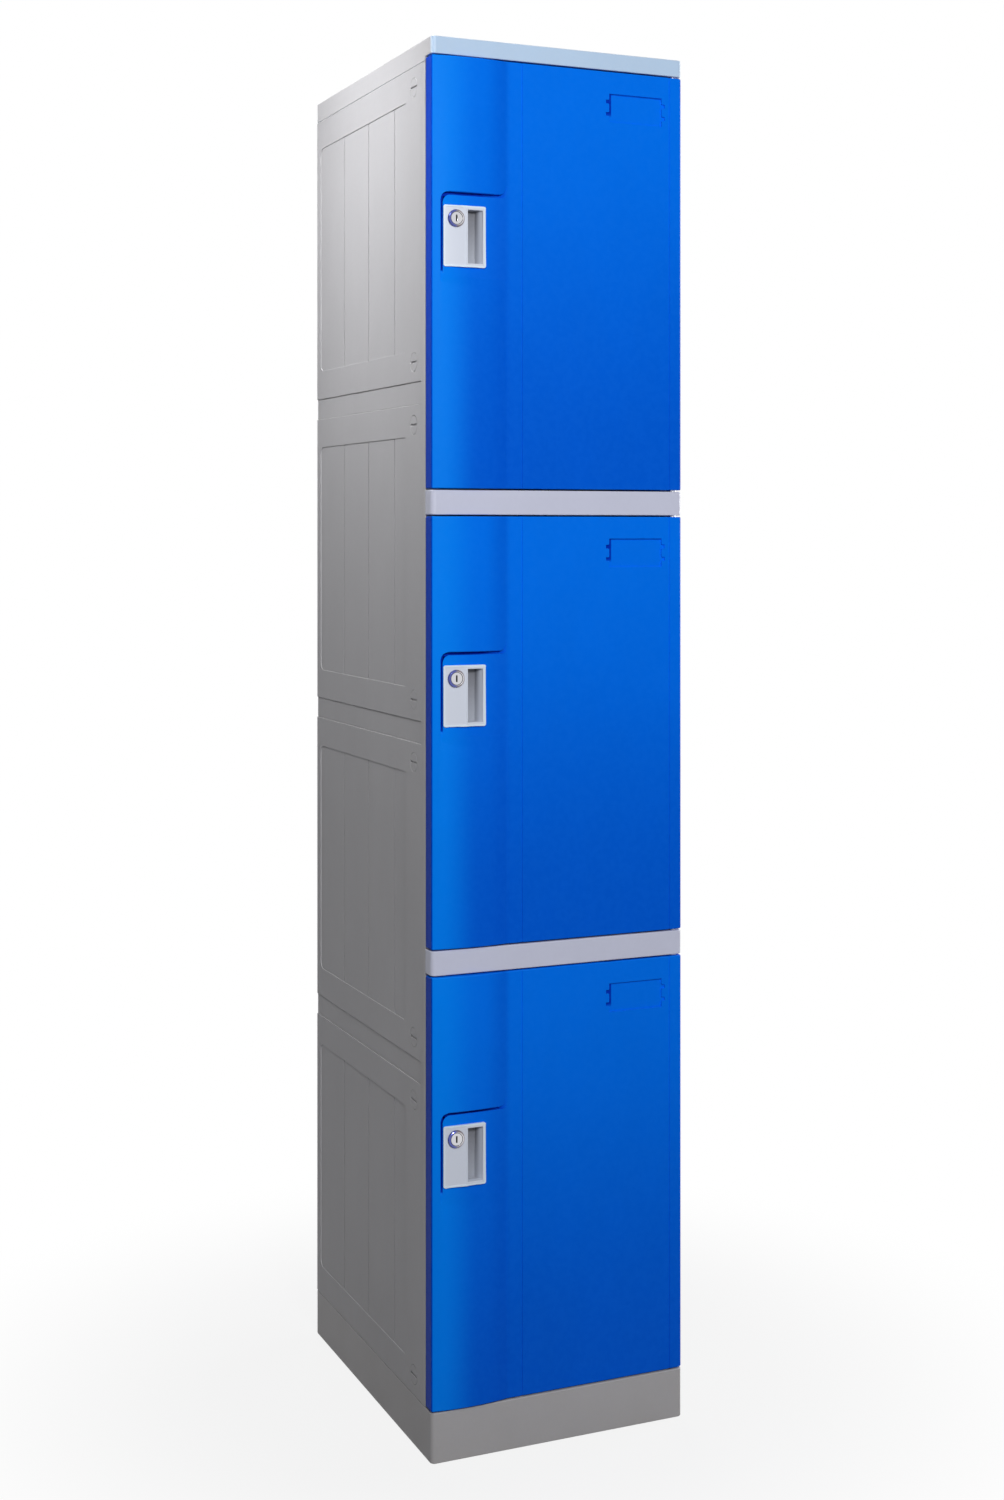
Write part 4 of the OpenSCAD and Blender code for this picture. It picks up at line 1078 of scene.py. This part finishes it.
@finish_of("studio floor")
def floor_finish(tree, surface):
    """Pale floor that keeps the locker's shadow and turns plain white further off."""
    matt = tree.nodes.new("ShaderNodeBsdfDiffuse")
    matt.inputs["Color"].default_value = (0.33, 0.33, 0.34, 1)
    plain = tree.nodes.new("ShaderNodeEmission")
    plain.inputs["Color"].default_value = (1, 1, 1, 1)
    length = tree.nodes.new("ShaderNodeVectorMath")
    length.operation = "LENGTH"
    tree.links.new(place(tree), length.inputs[0])
    away = remap(tree, length.outputs["Value"], 0.32, 1.0, 0.87, 1.0)
    white = math_node(tree, "MULTIPLY", away, seen_rays(tree))
    tree.links.new(mix_shaders(tree, white, matt, plain), surface)


def mix_shaders(tree, factor, a, b):
    """Two shader nodes mixed by a factor socket."""
    node = tree.nodes.new("ShaderNodeMixShader")
    for socket, value in zip(node.inputs, (factor, a.outputs[0], b.outputs[0])):
        tree.links.new(value, socket)
    return node.outputs[0]


def surroundings(ambient):
    """A world that looks white and lights the locker at a low level from all round."""
    world = bpy.data.worlds.new("studio")
    world.use_nodes = True
    tree = world.node_tree
    tree.nodes.clear()
    around, seen_white = (tree.nodes.new("ShaderNodeBackground") for _ in range(2))
    for node, strength in ((around, ambient), (seen_white, 1.0)):
        node.inputs["Color"].default_value = (1, 1, 1, 1)
        node.inputs["Strength"].default_value = strength
    output = tree.nodes.new("ShaderNodeOutputWorld")
    tree.links.new(mix_shaders(tree, seen_rays(tree), around, seen_white), output.inputs["Surface"])
    return world


def lamp(name, at, aim, size, watts, spread=math.pi):
    """A soft square lamp aimed at a point."""
    light = bpy.data.lights.new(name, "AREA")
    light.size = size
    light.energy = watts
    light.spread = spread
    holder = bpy.data.objects.new(name, light)
    bpy.context.scene.collection.objects.link(holder)
    holder.location = at
    holder.visible_camera = False
    holder.rotation_euler = (aim - Vector(at)).to_track_quat("-Z", "Y").to_euler()


def camera(studio):
    """The level camera, with its frame dropped by a shift."""
    view = bpy.data.cameras.new("eye")
    view.sensor_width = 36.0
    view.lens = studio.focal
    view.shift_y = -studio.drop
    eye = bpy.data.objects.new("eye", view)
    eye.location = studio.eye
    eye.rotation_euler = (math.pi / 2, 0, -studio.heading)
    bpy.context.scene.collection.objects.link(eye)
    return eye


class LOCKER_OT_stage(bpy.types.Operator):
    """Set up the floor, the lamps, the surroundings and the camera"""

    bl_idname = "locker.stage"
    bl_label = "Floor, Lamps and Camera"

    def execute(self, context):
        studio = context.scene.locker.studio
        low, high = CAD_BOX
        middle = (low + high) / 2
        bm = bmesh.new()
        bmesh.ops.create_circle(bm, cap_ends=True, radius=9.0, segments=96)
        disc = bpy.data.meshes.new("studio_floor")
        bm.to_mesh(disc)
        bm.free()
        floor = bpy.data.objects.new("studio_floor", disc)
        floor.location = (0, 0, low.z - FLOOR_GAP)
        context.scene.collection.objects.link(floor)
        disc.materials.append(floor_finish())
        wall_top = Vector((low.x, middle.y, 0.9 * high.z))
        lamp("front_lamp", (-0.5, -3.1, 2.2), middle, 0.6, studio.front_watts)
        lamp("key_lamp", (-1.3, -2.3, 3.1), middle, 0.8, studio.key_watts)
        lamp("side_lamp", (-0.8, 0, 2.35), wall_top, 0.5, studio.side_watts, math.radians(70))
        lamp("right_lamp", (2.9, 0.5, 1.7), middle, 1.6, studio.right_watts)
        lamp("back_lamp", (0.6, 3.2, 1.9), middle, 1.6, studio.back_watts)
        context.scene.world = surroundings(studio.ambient)
        context.scene.camera = camera(studio)
        context.scene.view_settings.view_transform = "Standard"
        return {"FINISHED"}


class LOCKER_PT_sidebar(bpy.types.Panel):
    """Lists the locker's settings and its building steps"""

    bl_idname = "LOCKER_PT_sidebar"
    bl_label = "Locker Cabinet"
    bl_space_type = "VIEW_3D"
    bl_region_type = "UI"
    bl_category = "Locker"

    def draw(self, context):
        settings = context.scene.locker
        for group in (settings.colours, settings.edges, settings.wear, settings.studio):
            box = self.layout.box()
            box.label(text=type(group).__name__.replace("Locker", ""))
            for key in type(group).__annotations__:
                box.prop(group, key)
        for step in STEPS:
            self.layout.operator(step.bl_idname)


STEPS = (
    LOCKER_OT_trim, LOCKER_OT_side_walls, LOCKER_OT_posts, LOCKER_OT_back_wall, LOCKER_OT_cells,
    LOCKER_OT_doors, LOCKER_OT_handles, LOCKER_OT_locks, LOCKER_OT_hardware, LOCKER_OT_stage,
)
CLASSES = (LockerColours, LockerEdges, LockerWear, LockerStudio, LockerSettings, *STEPS, LOCKER_PT_sidebar)


def register():
    """Adds the classes and the scene's locker settings."""
    for kind in CLASSES:
        bpy.utils.register_class(kind)
    bpy.types.Scene.locker = PointerProperty(type=LockerSettings)


def unregister():
    """Takes the settings and the classes away again."""
    del bpy.types.Scene.locker
    for kind in reversed(CLASSES):
        bpy.utils.unregister_class(kind)


def main():
    """Builds every piece and the stage."""
    register()
    for step in STEPS:
        group, name = step.bl_idname.split(".")
        getattr(getattr(bpy.ops, group), name)()


if __name__ == "__main__":
    main()
